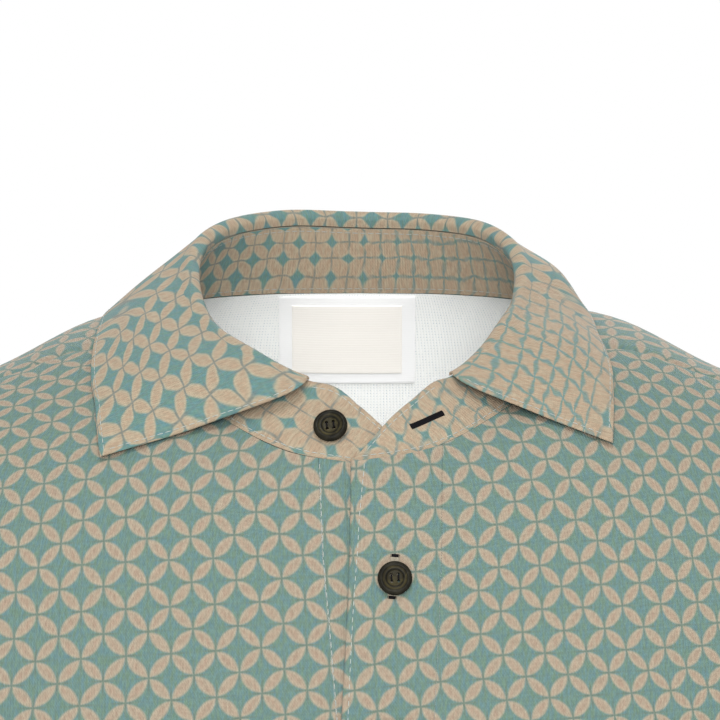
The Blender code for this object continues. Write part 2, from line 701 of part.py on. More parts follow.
def labels():
    patch_depth = BODY_WALL + SEAM_GAP
    label_wall("label_backing", PATCH_SIZE, patch_depth, PATCH_COLOUR)
    label_wall("label", LABEL_SIZE, patch_depth + LABEL_WALL + SEAM_GAP, LABEL_COLOUR)


def build():
    for leftover in list(bpy.data.objects):
        bpy.data.objects.remove(leftover, do_unlink=True)
    front_body()
    back_body()
    sleeve("sleeve_left", 1)
    sleeve("sleeve_right", -1)
    collar_stand()
    collar_leaf()
    plackets()
    buttons()
    labels()


build()
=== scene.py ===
# %% [markdown]
# # A polo shirt in printed knit
# The shirt is filled out as if somebody wore it, but it is hollow. It is sewn from flat pieces of
# knit, so this lesson makes each piece as a thin closed shell of cloth on the curved form that the
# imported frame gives, and then sews them together with real stitches.

# %% Load the frame
import math

import bmesh
import bpy
import numpy as np
from mathutils import Matrix, Vector


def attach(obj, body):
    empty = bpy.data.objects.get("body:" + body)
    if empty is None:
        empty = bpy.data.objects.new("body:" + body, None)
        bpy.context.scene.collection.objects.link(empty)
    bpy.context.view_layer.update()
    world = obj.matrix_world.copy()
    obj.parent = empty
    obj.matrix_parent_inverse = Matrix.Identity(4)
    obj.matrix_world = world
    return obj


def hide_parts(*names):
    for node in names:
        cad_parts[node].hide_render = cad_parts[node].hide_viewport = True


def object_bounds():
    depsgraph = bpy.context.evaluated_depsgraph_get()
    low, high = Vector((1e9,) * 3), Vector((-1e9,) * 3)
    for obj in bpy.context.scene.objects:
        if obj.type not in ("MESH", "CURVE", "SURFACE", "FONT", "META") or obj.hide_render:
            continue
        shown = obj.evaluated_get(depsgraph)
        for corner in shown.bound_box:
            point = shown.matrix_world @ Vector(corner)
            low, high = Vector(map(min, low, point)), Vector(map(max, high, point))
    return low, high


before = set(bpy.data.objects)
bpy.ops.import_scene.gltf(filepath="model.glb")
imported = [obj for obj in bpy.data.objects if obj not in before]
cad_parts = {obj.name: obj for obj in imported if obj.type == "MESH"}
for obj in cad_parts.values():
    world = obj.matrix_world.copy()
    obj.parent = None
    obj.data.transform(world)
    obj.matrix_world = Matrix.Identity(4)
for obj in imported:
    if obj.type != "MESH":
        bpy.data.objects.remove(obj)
cad_box = [[float(v) for v in corner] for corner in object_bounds()]
MM = 0.001
print("CAD box", cad_box)

# %% [markdown]
# ## Curves through short tables
# A garment's form is given by a few measured sizes. A Hermite curve goes through every row of a
# table with even slopes, which gives a smooth body from fourteen rings. Lengths along rows of
# points come up all through the lesson, so they have a function here too.

# %% Smooth curves
def smooth_curve(keys, values, at):
    """Values along a table, through every row. values may have more columns."""
    keys = np.asarray(keys, float)
    values = np.asarray(values, float)
    slopes = np.gradient(values, keys, axis=0)
    at = np.clip(at, keys[0], keys[-1])
    row = np.clip(np.searchsorted(keys, at, side="right") - 1, 0, len(keys) - 2)
    span = keys[row + 1] - keys[row]
    t = (at - keys[row]) / span
    extra = (1,) * (values.ndim - 1)
    t, span = np.reshape(t, np.shape(t) + extra), np.reshape(span, np.shape(span) + extra)
    start = (2 * t**3 - 3 * t**2 + 1) * values[row] + (t**3 - 2 * t**2 + t) * span * slopes[row]
    end = (3 * t**2 - 2 * t**3) * values[row + 1] + (t**3 - t**2) * span * slopes[row + 1]
    return start + end


def smooth_step(at, low, high):
    """0 at low, 1 at high, and an even ease between them."""
    t = np.clip((at - low) / (high - low), 0, 1)
    return t * t * (3 - 2 * t)


def unit(vectors):
    return vectors / np.maximum(np.linalg.norm(vectors, axis=-1, keepdims=True), 1e-12)


def run_length(points, axis=0):
    """Distance travelled along one axis of a row or a grid of points, from 0 at its first."""
    steps = np.linalg.norm(np.diff(points, axis=axis), axis=-1)
    return np.concatenate([np.zeros_like(steps.take([0], axis)), np.cumsum(steps, axis)], axis)


# %% [markdown]
# ## The body's form
# These are the frame's own sizes, in millimetres: rings from the hem to the neck, the neck seam's
# height round the neck, and the seams. Repeating them here lets the cloth be divided much more
# finely than the solids are, on exactly the same form.

# %% Body sizes
RING_COLUMNS = ("side", "front", "back", "side_z", "front_z", "back_z", "square")
RINGS = (
    (208, 113, 110, -705, -705, -705, 0.12),
    (206, 113, 108, -560, -562, -560, 0.12),
    (199, 113, 103, -430, -434, -430, 0.12),
    (203, 119, 110, -315, -320, -315, 0.12),
    (202, 120, 113, -240, -262, -248, 0.12),
    (207, 119.5, 112, -200, -224, -209, 0.13),
    (214, 117.5, 110.5, -156, -193, -172, 0.13),
    (218, 114, 107, -112, -165, -136, 0.125),
    (212, 109.5, 101.5, -76, -139, -104, 0.12),
    (194, 105, 95, -56, -118, -77, 0.11),
    (163, 101, 88, -41, -101, -54, 0.10),
    (130, 97, 80, -27.6, -86, -34, 0.08),
    (100, 92.5, 70, -14.2, -73, -16, 0.04),
    (74, 88, 60, -13, -61, 0, 0.0),
)
UNDERARM_LEVEL, PLACKET_LEVEL, SHOULDER_LEVEL, NECK_LEVEL = 4, 5, 8, 13
NECK_FADE_LEVELS = 3  # how far below the neck its seam's own curve fades out
NECK_SEAM = (  # degrees from the centre front, and height
    (0, -61), (20, -56.7), (40, -45.9), (60, -33), (75, -22.5),
    (90, -13), (105, -7), (120, -3.5), (150, -0.5), (180, 0),
)
SEAM_LEVELS, SEAM_FORWARD = (8, 10, 11, 12, 13), (5, 8, 11.5, 13, 15)
ARMHOLE_FRONT_ANGLE, ARMHOLE_BACK_ANGLE = 31, 33
BODY_WALL, HEM_WALL, HEM_DEPTH = 1.0 * MM, 2.0 * MM, 20 * MM
SEAM_GAP, SEAM_SHARE = 0.3 * MM, 0.2  # the cloth here closes all but a fifth of the frame's gap
ANGLE_STEP, LEVEL_STEP, LEVEL_SAMPLES = 0.5, 0.02, 1301
RING_TABLE = np.array(RINGS, float)
print(len(RINGS), "rings")

# %% The body's surface
def ring_column(name, level):
    return smooth_curve(range(len(RINGS)), RING_TABLE[:, RING_COLUMNS.index(name)], level)


def neck_seam_height(angle):
    turn = np.abs((np.asarray(angle, float) + 180) % 360 - 180)
    return smooth_curve(*zip(*NECK_SEAM), turn)


def ring_height(angle, level):
    cosine = np.cos(np.radians(angle))
    side_z = ring_column("side_z", level)
    middle_z = np.where(cosine > 0, ring_column("front_z", level), ring_column("back_z", level))
    return side_z + (middle_z - side_z) * cosine**2


def torso(angle, level):
    """The cloth's outer face. angle runs from the centre front towards the wearer's left."""
    angle, level = np.asarray(angle, float), np.asarray(level, float)
    sine, cosine = np.sin(np.radians(angle)), np.cos(np.radians(angle))
    square = ring_column("square", level)
    reach = np.where(cosine > 0, ring_column("front", level), ring_column("back", level))
    x = ring_column("side", level) * sine * (1 + square * cosine**2)
    y = -reach * cosine * (1 + square * sine**2)
    at_neck = neck_seam_height(angle) - ring_height(angle, NECK_LEVEL)
    near_neck = smooth_step(level, NECK_LEVEL - NECK_FADE_LEVELS, NECK_LEVEL)
    z = ring_height(angle, level) + at_neck * near_neck
    return np.stack(np.broadcast_arrays(x, y, z), axis=-1) * MM


def torso_normal(angle, level):
    angle, level = np.asarray(angle), np.asarray(level, float)
    along = torso(angle + ANGLE_STEP, level) - torso(angle - ANGLE_STEP, level)
    above, below = np.minimum(level + LEVEL_STEP, NECK_LEVEL), np.maximum(level - LEVEL_STEP, 0)
    return unit(np.cross(along, torso(angle, above) - torso(angle, below)))


def on_torso(angle, level, lift):
    return torso(angle, level) + torso_normal(angle, level) * np.asarray(lift)[..., None]


def angle_at_x(x, level):
    reach = ring_column("side", level) * (1 + ring_column("square", level)) * MM
    return np.degrees(np.arcsin(x / reach))


def level_at(column, z):
    levels = np.linspace(0, NECK_LEVEL, LEVEL_SAMPLES)
    return np.interp(z / MM, ring_column(column, levels), levels)


chest = torso(np.linspace(0, 360, 361), UNDERARM_LEVEL)
print("chest round, mm:", round(float(run_length(chest)[-1] / MM)))

# %% [markdown]
# ## Laying cloth flat
# The print and the knit run along the cloth as it was cut, not along the body. So a piece is laid
# flat first: a coarse grid of its points is pulled about in the plane until each of its threads has
# its real length again. The print is then placed on the flat cloth, which bends it as a body does.

# %% Flat cloth
PULL = 1.6  # a little over the mean pull, because the cloth settles sooner so


def lay_flat(points, passes=900):
    """Flat positions of a coarse grid of points, by evening out the length of each thread."""
    u, v, middle = run_length(points, 1), run_length(points), points.shape[1] // 2
    flat = np.stack([u - u[:, middle:middle + 1], 0.5 * (v + v[:, middle:middle + 1])], axis=2)
    ties = (
        (slice(None), slice(0, -1), slice(None), slice(1, None)),
        (slice(0, -1), slice(None), slice(1, None), slice(None)),
        (slice(0, -1), slice(0, -1), slice(1, None), slice(1, None)),
        (slice(0, -1), slice(1, None), slice(1, None), slice(0, -1)),
    )
    rests = [np.linalg.norm(points[c, d] - points[a, b], axis=2) for a, b, c, d in ties]
    for _ in range(passes):
        move = np.zeros_like(flat)
        count = np.zeros(flat.shape[:2] + (1,))
        for (a, b, c, d), rest in zip(ties, rests):
            gap = flat[c, d] - flat[a, b]
            length = np.linalg.norm(gap, axis=2)
            pull = gap * (0.5 * (1 - rest / np.maximum(length, 1e-9)))[..., None]
            move[a, b] += pull
            move[c, d] -= pull
            count[a, b] += 1
            count[c, d] += 1
        flat += move / count * PULL
    return flat


def finer(coarse, row_keys, column_keys, rows, columns):
    """A coarse grid's values at finer rows and columns."""
    by_row = smooth_curve(row_keys, coarse, rows)
    return np.swapaxes(smooth_curve(column_keys, np.swapaxes(by_row, 0, 1), columns), 0, 1)


def flat_grid(points, every=6):
    """Flat positions in metres for each point of a fine grid."""
    rows, columns = points.shape[:2]
    row_keys, column_keys = (np.unique(np.append(np.arange(0, count, every), count - 1))
                             for count in (rows, columns))
    flat = lay_flat(points[np.ix_(row_keys, column_keys)])
    return finer(flat, row_keys, column_keys, np.arange(rows), np.arange(columns))


# %% [markdown]
# ## Shells of cloth
# A piece of cloth is two grids of points, its outer and its inner face, closed round its edges. One
# function makes every piece. It keeps two UV maps: `cloth` is the flat cloth in metres, which the
# knit follows, and `print` counts the units of the printed lattice.

# %% Cloth shell
OUTER, INNER, RIM = 0, 1, 2
SHARP_ANGLE = math.radians(55)
PETAL_REACH = 0.955


def grid_normals(points, wrap=False):
    if wrap:
        padded = np.concatenate([points[:, -1:], points, points[:, :1]], axis=1)
        across = (padded[:, 2:] - padded[:, :-2]) / 2
    else:
        across = np.gradient(points, axis=1)
    return unit(np.cross(across, np.gradient(points, axis=0)))


def add_object(name, data):
    made = bpy.data.objects.new(name, data)
    bpy.context.scene.collection.objects.link(made)
    return made


def worn(piece, node=None):
    """Puts a piece on the one body and the frame node it stands for."""
    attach(piece, "root")
    if node:
        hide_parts(node)
    print(piece.name, len(piece.data.polygons), "faces")
    return piece


def shell_faces(present, columns, wrap):
    """Quads of a shell's outer face, inner face and rim, and which of these each one is."""
    total = (present.shape[0] + 1) * columns
    number = np.arange(total).reshape(-1, columns)
    r, c = np.nonzero(present)
    right = (c + 1) % columns
    corners = np.stack([number[r, c], number[r, right], number[r + 1, right], number[r + 1, c]],
                       axis=1)
    padded = np.pad(present, 1)
    if wrap:
        padded[1:-1, 0], padded[1:-1, -1] = present[:, -1], present[:, 0]
    beside = padded[r, c + 1], padded[r + 1, c + 2], padded[r + 2, c + 1], padded[r + 1, c]
    groups = [corners, corners[:, ::-1] + total]
    for side, filled in enumerate(beside):
        first, second = corners[~filled][:, [side, (side + 1) % 4]].T
        groups.append(np.stack([second, first, first + total, second + total], axis=1))
    kinds = np.repeat([OUTER, INNER, RIM, RIM, RIM, RIM], [len(group) for group in groups])
    return np.concatenate(groups), kinds


def cloth_shell(name, outer, inner, cloth_uv, print_uv, finishes, node, wrap=False,
                present=None, inner_print=None, petal=(PETAL_REACH, PETAL_REACH), web=(0.0, 0.0),
                tone_and_painted_light=(1.0, 1.0)):
    """A closed shell of cloth. finishes are the materials of its outer face, inner face and rim.

    petal, web and tone shape the print on the outer and the inner face: the petals' reach, how much
    the thin lines swell between their crossings, and painted light: a factor that makes a face's
    printed colour paler in place of light that does not reach it.
    """
    rows, columns = outer.shape[:2]
    if present is None:
        present = np.ones((rows - 1, columns if wrap else columns - 1), bool)
    faces, kinds = shell_faces(present, columns, wrap)
    points = np.concatenate([outer.reshape(-1, 3), inner.reshape(-1, 3)])
    used = np.unique(faces)
    renumber = np.full(len(points), -1)
    renumber[used] = np.arange(len(used))
    mesh = bpy.data.meshes.new(name)
    mesh.from_pydata(points[used].tolist(), [], renumber[faces].tolist())
    column = faces % columns
    at_join = (column == 0) & (column.max(axis=1, keepdims=True) == columns - 1)
    inner_print = print_uv if inner_print is None else inner_print
    for layer, grids in (("cloth", (cloth_uv, cloth_uv)), ("print", (print_uv, inner_print))):
        loops = np.concatenate([grid[:, :columns].reshape(-1, 2) for grid in grids])[faces]
        if wrap:
            end = np.concatenate([np.repeat(grid[:, columns], columns, axis=0) for grid in grids])
            loops[at_join] = end[faces][at_join]
        stored = mesh.uv_layers.new(name=layer)
        stored.data.foreach_set("uv", loops.reshape(-1).astype(np.float32))
    for layer, pair in (("petal", petal), ("web", web), ("tone_and_painted_light", tone_and_painted_light)):
        values = np.concatenate([np.broadcast_to(v, (rows, columns)).reshape(-1) for v in pair])
        stored = mesh.attributes.new(layer, "FLOAT", "POINT")
        stored.data.foreach_set("value", values[used].astype(np.float32))
    for finish in finishes:
        mesh.materials.append(finish)
    mesh.polygons.foreach_set("material_index", kinds.astype(np.int32))
    mesh.polygons.foreach_set("use_smooth", np.ones(len(faces), bool))
    mesh.update()
    bm = bmesh.new()
    bm.from_mesh(mesh)
    if bm.calc_volume(signed=True) < 0:
        bmesh.ops.reverse_faces(bm, faces=bm.faces)
    bm.to_mesh(mesh)
    bm.free()
    mesh.set_sharp_from_angle(angle=SHARP_ANGLE)
    return worn(add_object(name, mesh), node)


# %% [markdown]
# ## Colours
# A hex colour is written in sRGB, as a screen shows it, and Blender mixes light in linear values.
# One function turns one into the other, and one small function adds a node with its settings. A
# setting that is another node's output becomes a link, so a material reads from top to bottom.

# %% Colour and node helpers
def linear(hex_colour):
    parts = [int(hex_colour[i:i + 2], 16) / 255 for i in (1, 3, 5)]
    curve = [p / 12.92 if p <= 0.04045 else ((p + 0.055) / 1.055) ** 2.4 for p in parts]
    return (*curve, 1.0)


def set_node(node, settings):
    for key, value in settings.items():
        if isinstance(key, str) and hasattr(node, key):
            setattr(node, key, value)
        elif isinstance(value, bpy.types.NodeSocket):
            node.id_data.links.new(value, node.inputs[key])
        else:
            node.inputs[key].default_value = value


def add_node(tree, kind, settings, give=0):
    """Adds a shader node with its settings and links, and returns one of its outputs."""
    node = tree.nodes.new("ShaderNode" + kind)
    set_node(node, settings)
    return node.outputs[give]


def new_material(name):
    material = bpy.data.materials.new(name)
    material.use_nodes = True
    return material, material.node_tree, material.node_tree.nodes["Principled BSDF"]


# %% [markdown]
# ## Printed piqué polyester
# The knit is a polyester piqué, printed by heat transfer, so the ink lies in the fibre: the surface
# is matt with a slight soft sheen, and the fine ribs of the knit stay visible in both colours. The
# print is the traditional lattice of overlapping circles. Where two circles cross there is a tan
# petal, and between four petals there is a teal star. In one cell folded onto itself, a point is
# teal if it lies outside the circle round either far corner, which needs only two distances.

# %% Knit relief
WALE = 0.95 * MM   # a real wale is about 0.9 mm wide, and is drawn a little coarser to show
COURSE = 1.5 * MM  # a real course is about 0.7 mm high; two are drawn as one, which shows better
# turns of noise per wale across and along the cloth, detail and roughness: the streak, the mottle
KNIT_NOISES = ((1.15, 0.38, 1.0, 0.6), (0.8, 0.22, 2.0, 0.5))


def knit_relief(tree, wale, course):
    """Height of the knit's loops, a streak that runs along its wales, and a slower mottle."""
    cloth = add_node(tree, "UVMap", {"uv_map": "cloth"})
    per_metre = (2 * math.pi / wale, 2 * math.pi / course, 0)
    turns = add_node(tree, "VectorMath", {"operation": "MULTIPLY", 0: cloth, 1: per_metre})
    parts = [add_node(tree, "SeparateXYZ", {0: turns}, give=axis) for axis in (0, 1)]
    ribs, loops = [add_node(tree, "Math", {"operation": "SINE", 0: part}) for part in parts]
    height = add_node(tree, "Math", {"operation": "MULTIPLY_ADD", 0: ribs, 1: loops, 2: ribs})
    noises = []
    for across, along, detail, roughness in KNIT_NOISES:
        place = add_node(tree, "VectorMath",
                         {"operation": "MULTIPLY", 0: cloth, 1: (across / wale, along / wale, 1)})
        noises.append(add_node(tree, "TexNoise", {"Scale": 1.0, "Detail": detail,
                                                  "Roughness": roughness, "Vector": place}))
    return height, *noises


# %% Printed knit
WAVE_SCALE = 1.25                 # waves of the print's wobble per unit of the lattice
LINE_SWELL, LINE_INK = 1.1, 0.85  # how much a web's line widens, and how strong every line is
LINE_EDGE = (0.35, 1.9)           # where a line starts and stops to fade, in its own widths
CROSSING = (0.25, 0.8, 0.2)       # fade of the lines near a star's centre: from, to, what is kept
STAR_EDGE, RIM_END, CORE_START = 0.075, -0.05, -0.17


def printed_lattice(tree, line_width, wobble):
    """How far a point is past a petal's rim (below 0 inside it), and how much line lies on it."""
    web = add_node(tree, "Attribute", {"attribute_name": "web"}, give=2)
    counts = add_node(tree, "UVMap", {"uv_map": "print"})
    waves = add_node(tree, "TexNoise",
                     {"Scale": WAVE_SCALE, "Detail": 1.0, "Vector": counts}, give=1)
    centred = add_node(tree, "VectorMath", {"operation": "SUBTRACT", 0: waves, 1: (0.5, 0.5, 0.5)})
    amount = add_node(tree, "Math", {"operation": "MULTIPLY_ADD", 0: web, 1: wobble, 2: wobble})
    shift = add_node(tree, "VectorMath", {"operation": "SCALE", 0: centred, "Scale": amount})
    lattice = add_node(tree, "VectorMath", {"operation": "ADD", 0: counts, 1: shift})
    folded = []
    for axis in (0, 1):
        count = add_node(tree, "SeparateXYZ", {0: lattice}, give=axis)
        folded.append(add_node(tree, "Math", {"operation": "PINGPONG", 0: count, 1: 1.0}))
    near = add_node(tree, "CombineXYZ", {0: folded[0], 1: folded[1]})
    far = add_node(tree, "VectorMath", {"operation": "SUBTRACT", 0: (1, 1, 0), 1: near})
    reach = [add_node(tree, "VectorMath", {"operation": "LENGTH", 0: corner}, give=1)
             for corner in (near, far)]
    outside = add_node(tree, "Math", {"operation": "MAXIMUM", 0: reach[0], 1: reach[1]})
    petal = add_node(tree, "Attribute", {"attribute_name": "petal"}, give=2)
    past = add_node(tree, "Math", {"operation": "SUBTRACT", 0: outside, 1: petal})
    ratios = []
    for count, other in (folded, folded[::-1]):
        rest = add_node(tree, "Math", {"operation": "SUBTRACT", 0: 1.0, 1: count})
        gap = add_node(tree, "Math", {"operation": "MINIMUM", 0: count, 1: rest})
        rest = add_node(tree, "Math", {"operation": "SUBTRACT", 0: 1.0, 1: other})
        middle = add_node(tree, "Math", {"operation": "MULTIPLY", 0: other, 1: rest})
        swell = add_node(tree, "Math", {"operation": "POWER", 0: middle, 1: 2.0})
        swell = add_node(tree, "Math", {"operation": "MULTIPLY", 0: swell, 1: web})
        width = add_node(tree, "Math",
                         {"operation": "MULTIPLY_ADD", 0: swell, 1: LINE_SWELL, 2: line_width})
        ratios.append(add_node(tree, "Math", {"operation": "DIVIDE", 0: gap, 1: width}))
    nearest = add_node(tree, "Math", {"operation": "MINIMUM", 0: ratios[0], 1: ratios[1]})
    line = add_node(tree, "MapRange", {"interpolation_type": "SMOOTHSTEP", 0: nearest,
                                       1: LINE_EDGE[0], 2: LINE_EDGE[1], 3: 1.0, 4: 0.0})
    centre = add_node(tree, "Math", {"operation": "MINIMUM", 0: reach[0], 1: reach[1]})
    kept = add_node(tree, "MapRange", {"interpolation_type": "SMOOTHSTEP", 0: centre,
                                       1: CROSSING[0], 2: CROSSING[1], 3: CROSSING[2], 4: 1.0})
    kept = add_node(tree, "Math", {"operation": "MAXIMUM", 0: kept, 1: web})
    line = add_node(tree, "Math", {"operation": "MULTIPLY", 0: line, 1: kept})
    return past, line, web


def printed_knit(name, rim, core, blue, green, line, line_width=0.034, wobble=0.06):
    """Colours of a petal's rim and core, of the star's two ink shades, and of the thin lines."""
    material, tree, shader = new_material(name)
    past, on_line, web = printed_lattice(tree, line_width, wobble)
    height, streak, mottle = knit_relief(tree, WALE, COURSE)
    rim, core, blue, green, line = (linear(colour) for colour in (rim, core, blue, green, line))
    depth = add_node(tree, "MapRange", {0: past, 1: RIM_END, 2: CORE_START, 3: 0.0, 4: 1.0})
    patchy = add_node(tree, "MapRange", {0: mottle, 1: 0.35, 2: 0.6, 3: 0.25, 4: 1.0})
    share = add_node(tree, "Math", {"operation": "MULTIPLY", 0: depth, 1: patchy})
    shade = add_node(tree, "MapRange", {0: mottle, 1: 0.35, 2: 0.65})
    star = add_node(tree, "MapRange", {"interpolation_type": "SMOOTHSTEP", 0: past,
                                       1: -STAR_EDGE, 2: STAR_EDGE})
    tan = add_node(tree, "Mix", {"data_type": "RGBA", 0: share, 6: rim, 7: core}, give=2)
    teal = add_node(tree, "Mix", {"data_type": "RGBA", 0: shade, 6: blue, 7: green}, give=2)
    ink = add_node(tree, "Mix", {"data_type": "RGBA", 0: star, 6: tan, 7: teal}, give=2)
    line_ink = add_node(tree, "Mix", {"data_type": "RGBA", 0: web, 6: line, 7: teal}, give=2)
    drawn = add_node(tree, "Math", {"operation": "MULTIPLY", 0: on_line, 1: LINE_INK})
    ink = add_node(tree, "Mix", {"data_type": "RGBA", 0: drawn, 6: ink, 7: line_ink}, give=2)
    tone_and_painted_light = add_node(tree, "MapRange", {0: streak, 1: 0.3, 2: 0.7, 3: 0.89, 4: 1.11})
    # painted light: this attribute is a factor on the printed colour; it paints the collar stand's
    # inside face paler in place of light
    pale = add_node(tree, "Attribute", {"attribute_name": "tone_and_painted_light"}, give=2)
    tone_and_painted_light = add_node(tree, "Math", {"operation": "MULTIPLY", 0: tone_and_painted_light, 1: pale})
    toned = add_node(tree, "VectorMath", {"operation": "SCALE", 0: ink, "Scale": tone_and_painted_light})
    bump = add_node(tree, "Bump", {"Strength": 0.35, "Distance": 0.2 * MM, "Height": height})
    set_node(shader, {"Base Color": toned, "Normal": bump, "Roughness": 0.85, "Sheen Weight": 0.06,
                      "Sheen Roughness": 0.5, "Specular IOR Level": 0.25})
    return material


# %% Unprinted knit
BACK_WALE, BACK_COURSE = 1.25 * MM, 1.2 * MM  # its dots stand on every other real wale and course
DOT_HEIGHTS = (-1.9, -0.9)


def plain_knit(name, colour, dot):
    """The unprinted back of the knit: white, with faint bluish dots where ink shows through."""
    material, tree, shader = new_material(name)
    height, streak, _ = knit_relief(tree, BACK_WALE, BACK_COURSE)
    dots = add_node(tree, "MapRange", {"interpolation_type": "SMOOTHSTEP", 0: height,
                                       1: DOT_HEIGHTS[0], 2: DOT_HEIGHTS[1], 3: 1.0, 4: 0.0})
    faint = add_node(tree, "MapRange", {0: streak, 1: 0.3, 2: 0.65, 3: 0.0, 4: 1.0})
    share = add_node(tree, "Math", {"operation": "MULTIPLY", 0: dots, 1: faint})
    mixed = add_node(tree, "Mix", {"data_type": "RGBA", 0: share, 6: linear(colour),
                                   7: linear(dot)}, give=2)
    bump = add_node(tree, "Bump", {"Strength": 0.3, "Distance": 0.2 * MM, "Height": height})
    set_node(shader, {"Base Color": mixed, "Normal": bump, "Roughness": 0.9, "Sheen Weight": 0.05,
                      "Specular IOR Level": 0.2})
    return material


body_knit = printed_knit("printed_pique_polyester", "#817767", "#7C6C5D", "#4A6365", "#4F6457",
                         "#515C52")
collar_knit = printed_knit("printed_collar_pique_polyester", "#867C69", "#83725F", "#486669",
                           "#4C685F", "#5B5E58", line_width=0.045, wobble=0.28)
white_knit = plain_knit("unprinted_pique_back", "#F1F2F0", "#B4C2CE")
BODY_FINISHES, COLLAR_FINISHES = (body_knit, white_knit, body_knit), (collar_knit,) * 3
print("cloth materials made")

# %% [markdown]
# ## The finishes of the small things
# The buttons are cast polyester resin, finished by tumbling, which gives them a soft polish and the
# faint clouds of horn. The thread is spun polyester, so it is matt, and the black buttonhole thread
# gives back hardly any light. The label is smooth woven satin, left bare.

# %% Button, thread and label materials
def cast_resin(name, dark, light):
    """Tumbled cast polyester: dark brown with a faint lighter cloud, and a soft polish."""
    material, tree, shader = new_material(name)
    place = add_node(tree, "TexCoord", {}, give=3)
    cloud = add_node(tree, "TexNoise",
                     {"Scale": 220.0, "Detail": 4.0, "Distortion": 1.5, "Vector": place})
    share = add_node(tree, "MapRange", {0: cloud, 1: 0.4, 2: 0.75})
    mixed = add_node(tree, "Mix", {"data_type": "RGBA", 0: share, 6: linear(dark),
                                   7: linear(light)}, give=2)
    set_node(shader, {"Base Color": mixed, "Roughness": 0.3, "IOR": 1.54,
                      "Specular IOR Level": 0.03})
    return material


def spun_thread(name, colour, gloss=0.3):
    """Spun polyester sewing thread: matt, with the twist as a fine diagonal relief."""
    material, tree, shader = new_material(name)
    place = add_node(tree, "TexCoord", {}, give=3)
    twist = add_node(tree, "TexWave",
                     {"bands_direction": "DIAGONAL", "Scale": 1400.0, "Vector": place}, give=1)
    bump = add_node(tree, "Bump", {"Strength": 0.3, "Distance": 0.05 * MM, "Height": twist})
    set_node(shader, {"Base Color": linear(colour), "Normal": bump, "Roughness": 0.7,
                      "Specular IOR Level": gloss})
    return material


def woven_satin(name, colour, shade, rib):
    """Woven satin: smooth, with a faint rib of its weft every so many metres."""
    material, tree, shader = new_material(name)
    cloth = add_node(tree, "UVMap", {"uv_map": "cloth"})
    along = add_node(tree, "SeparateXYZ", {0: cloth}, give=1)
    turns = add_node(tree, "Math", {"operation": "MULTIPLY", 0: along, 1: 2 * math.pi / rib})
    weft = add_node(tree, "Math", {"operation": "SINE", 0: turns})
    share = add_node(tree, "MapRange", {0: weft, 1: -1.0, 2: 1.0, 3: 0.0, 4: 0.35})
    mixed = add_node(tree, "Mix", {"data_type": "RGBA", 0: share, 6: linear(colour),
                                   7: linear(shade)}, give=2)
    bump = add_node(tree, "Bump", {"Strength": 0.15, "Distance": 0.1 * MM, "Height": weft})
    set_node(shader, {"Base Color": mixed, "Normal": bump, "Roughness": 0.55, "Sheen Weight": 0.1})
    return material


button_resin = cast_resin("cast_polyester_button", "#14130F", "#24221A")
button_well_resin = cast_resin("cast_polyester_button_well", "#221F15", "#39341F")
pale_thread = spun_thread("spun_polyester_pale_thread", "#8C918D")
tan_thread = spun_thread("spun_polyester_tan_thread", "#827B6C")
black_thread = spun_thread("spun_polyester_black_thread", "#100F11", gloss=0.03)
label_satin = woven_satin("woven_satin_label", "#F3EFE9", "#EDE8E0", 0.9 * MM)
patch_cloth = woven_satin("smooth_white_patch", "#F4F4F4", "#F0F0F0", 0.7 * MM)
print("small finishes made")

# %% [markdown]
# ## How the print lies on the cloth
# A print is placed on flat cloth in straight rows, and then the cloth is cut, eased and steamed, so
# its rows drift. Here the rows' drift is a short polynomial of the flat position, in units of the
# lattice. Outside the part of the cloth that was measured, it eases into straight even rows.

# %% Print placement
LATTICE = 7.35 * MM     # half the distance between two stars in a row
EASE = 60 * MM          # how far it takes the drift to fade outside the measured part
DRIFT_UNIT = 100 * MM   # the unit of length of the drifts' factors
DRIFT_TERMS = ((0, 0), (1, 0), (0, 1), (2, 0), (1, 1), (0, 2), (3, 0), (2, 1), (1, 2), (0, 3))
ACROSS, DOWN = (1 / LATTICE, 0.0), (0.0, -1 / LATTICE)


def drifted(flat, drifts, low, high):
    """Lattice units at flat positions, from each count's drift inside the measured box."""
    inside = np.clip(flat, low, high)
    beyond = flat - inside
    lead = EASE * (1 - np.exp(-np.abs(beyond) / EASE)) * np.sign(beyond)
    u, v = inside[..., 0] / DRIFT_UNIT, inside[..., 1] / DRIFT_UNIT
    counts = []
    for drift, even in zip(drifts, (ACROSS, DOWN)):
        terms = [(factor, a, b) for (a, b), factor in zip(DRIFT_TERMS, drift)]
        value = sum(factor * u**a * v**b for factor, a, b in terms)
        slope_u = sum(factor * a * u**(a - 1) * v**b for factor, a, b in terms if a)
        slope_v = sum(factor * b * u**a * v**(b - 1) for factor, a, b in terms if b)
        value = value + (slope_u * lead[..., 0] + slope_v * lead[..., 1]) / DRIFT_UNIT
        counts.append(value + (beyond - lead) @ np.array(even))
    return np.stack(counts, axis=-1)


def polynomial(flat, drifts, terms=DRIFT_TERMS):
    """Both counts of the lattice as plain polynomials of the flat position."""
    u, v = flat[..., 0] / DRIFT_UNIT, flat[..., 1] / DRIFT_UNIT
    return np.stack([sum(factor * u**a * v**b for (a, b), factor in zip(terms, drift))
                     for drift in drifts], axis=-1)


def straight_print(flat, turn, shift):
    """An even lattice on flat cloth, turned by so many degrees."""
    cosine, sine = math.cos(math.radians(turn)), math.sin(math.radians(turn))
    u, v = flat[..., 0] / LATTICE, flat[..., 1] / LATTICE
    return np.stack([cosine * u - sine * v, sine * u + cosine * v], axis=-1) + np.array(shift)
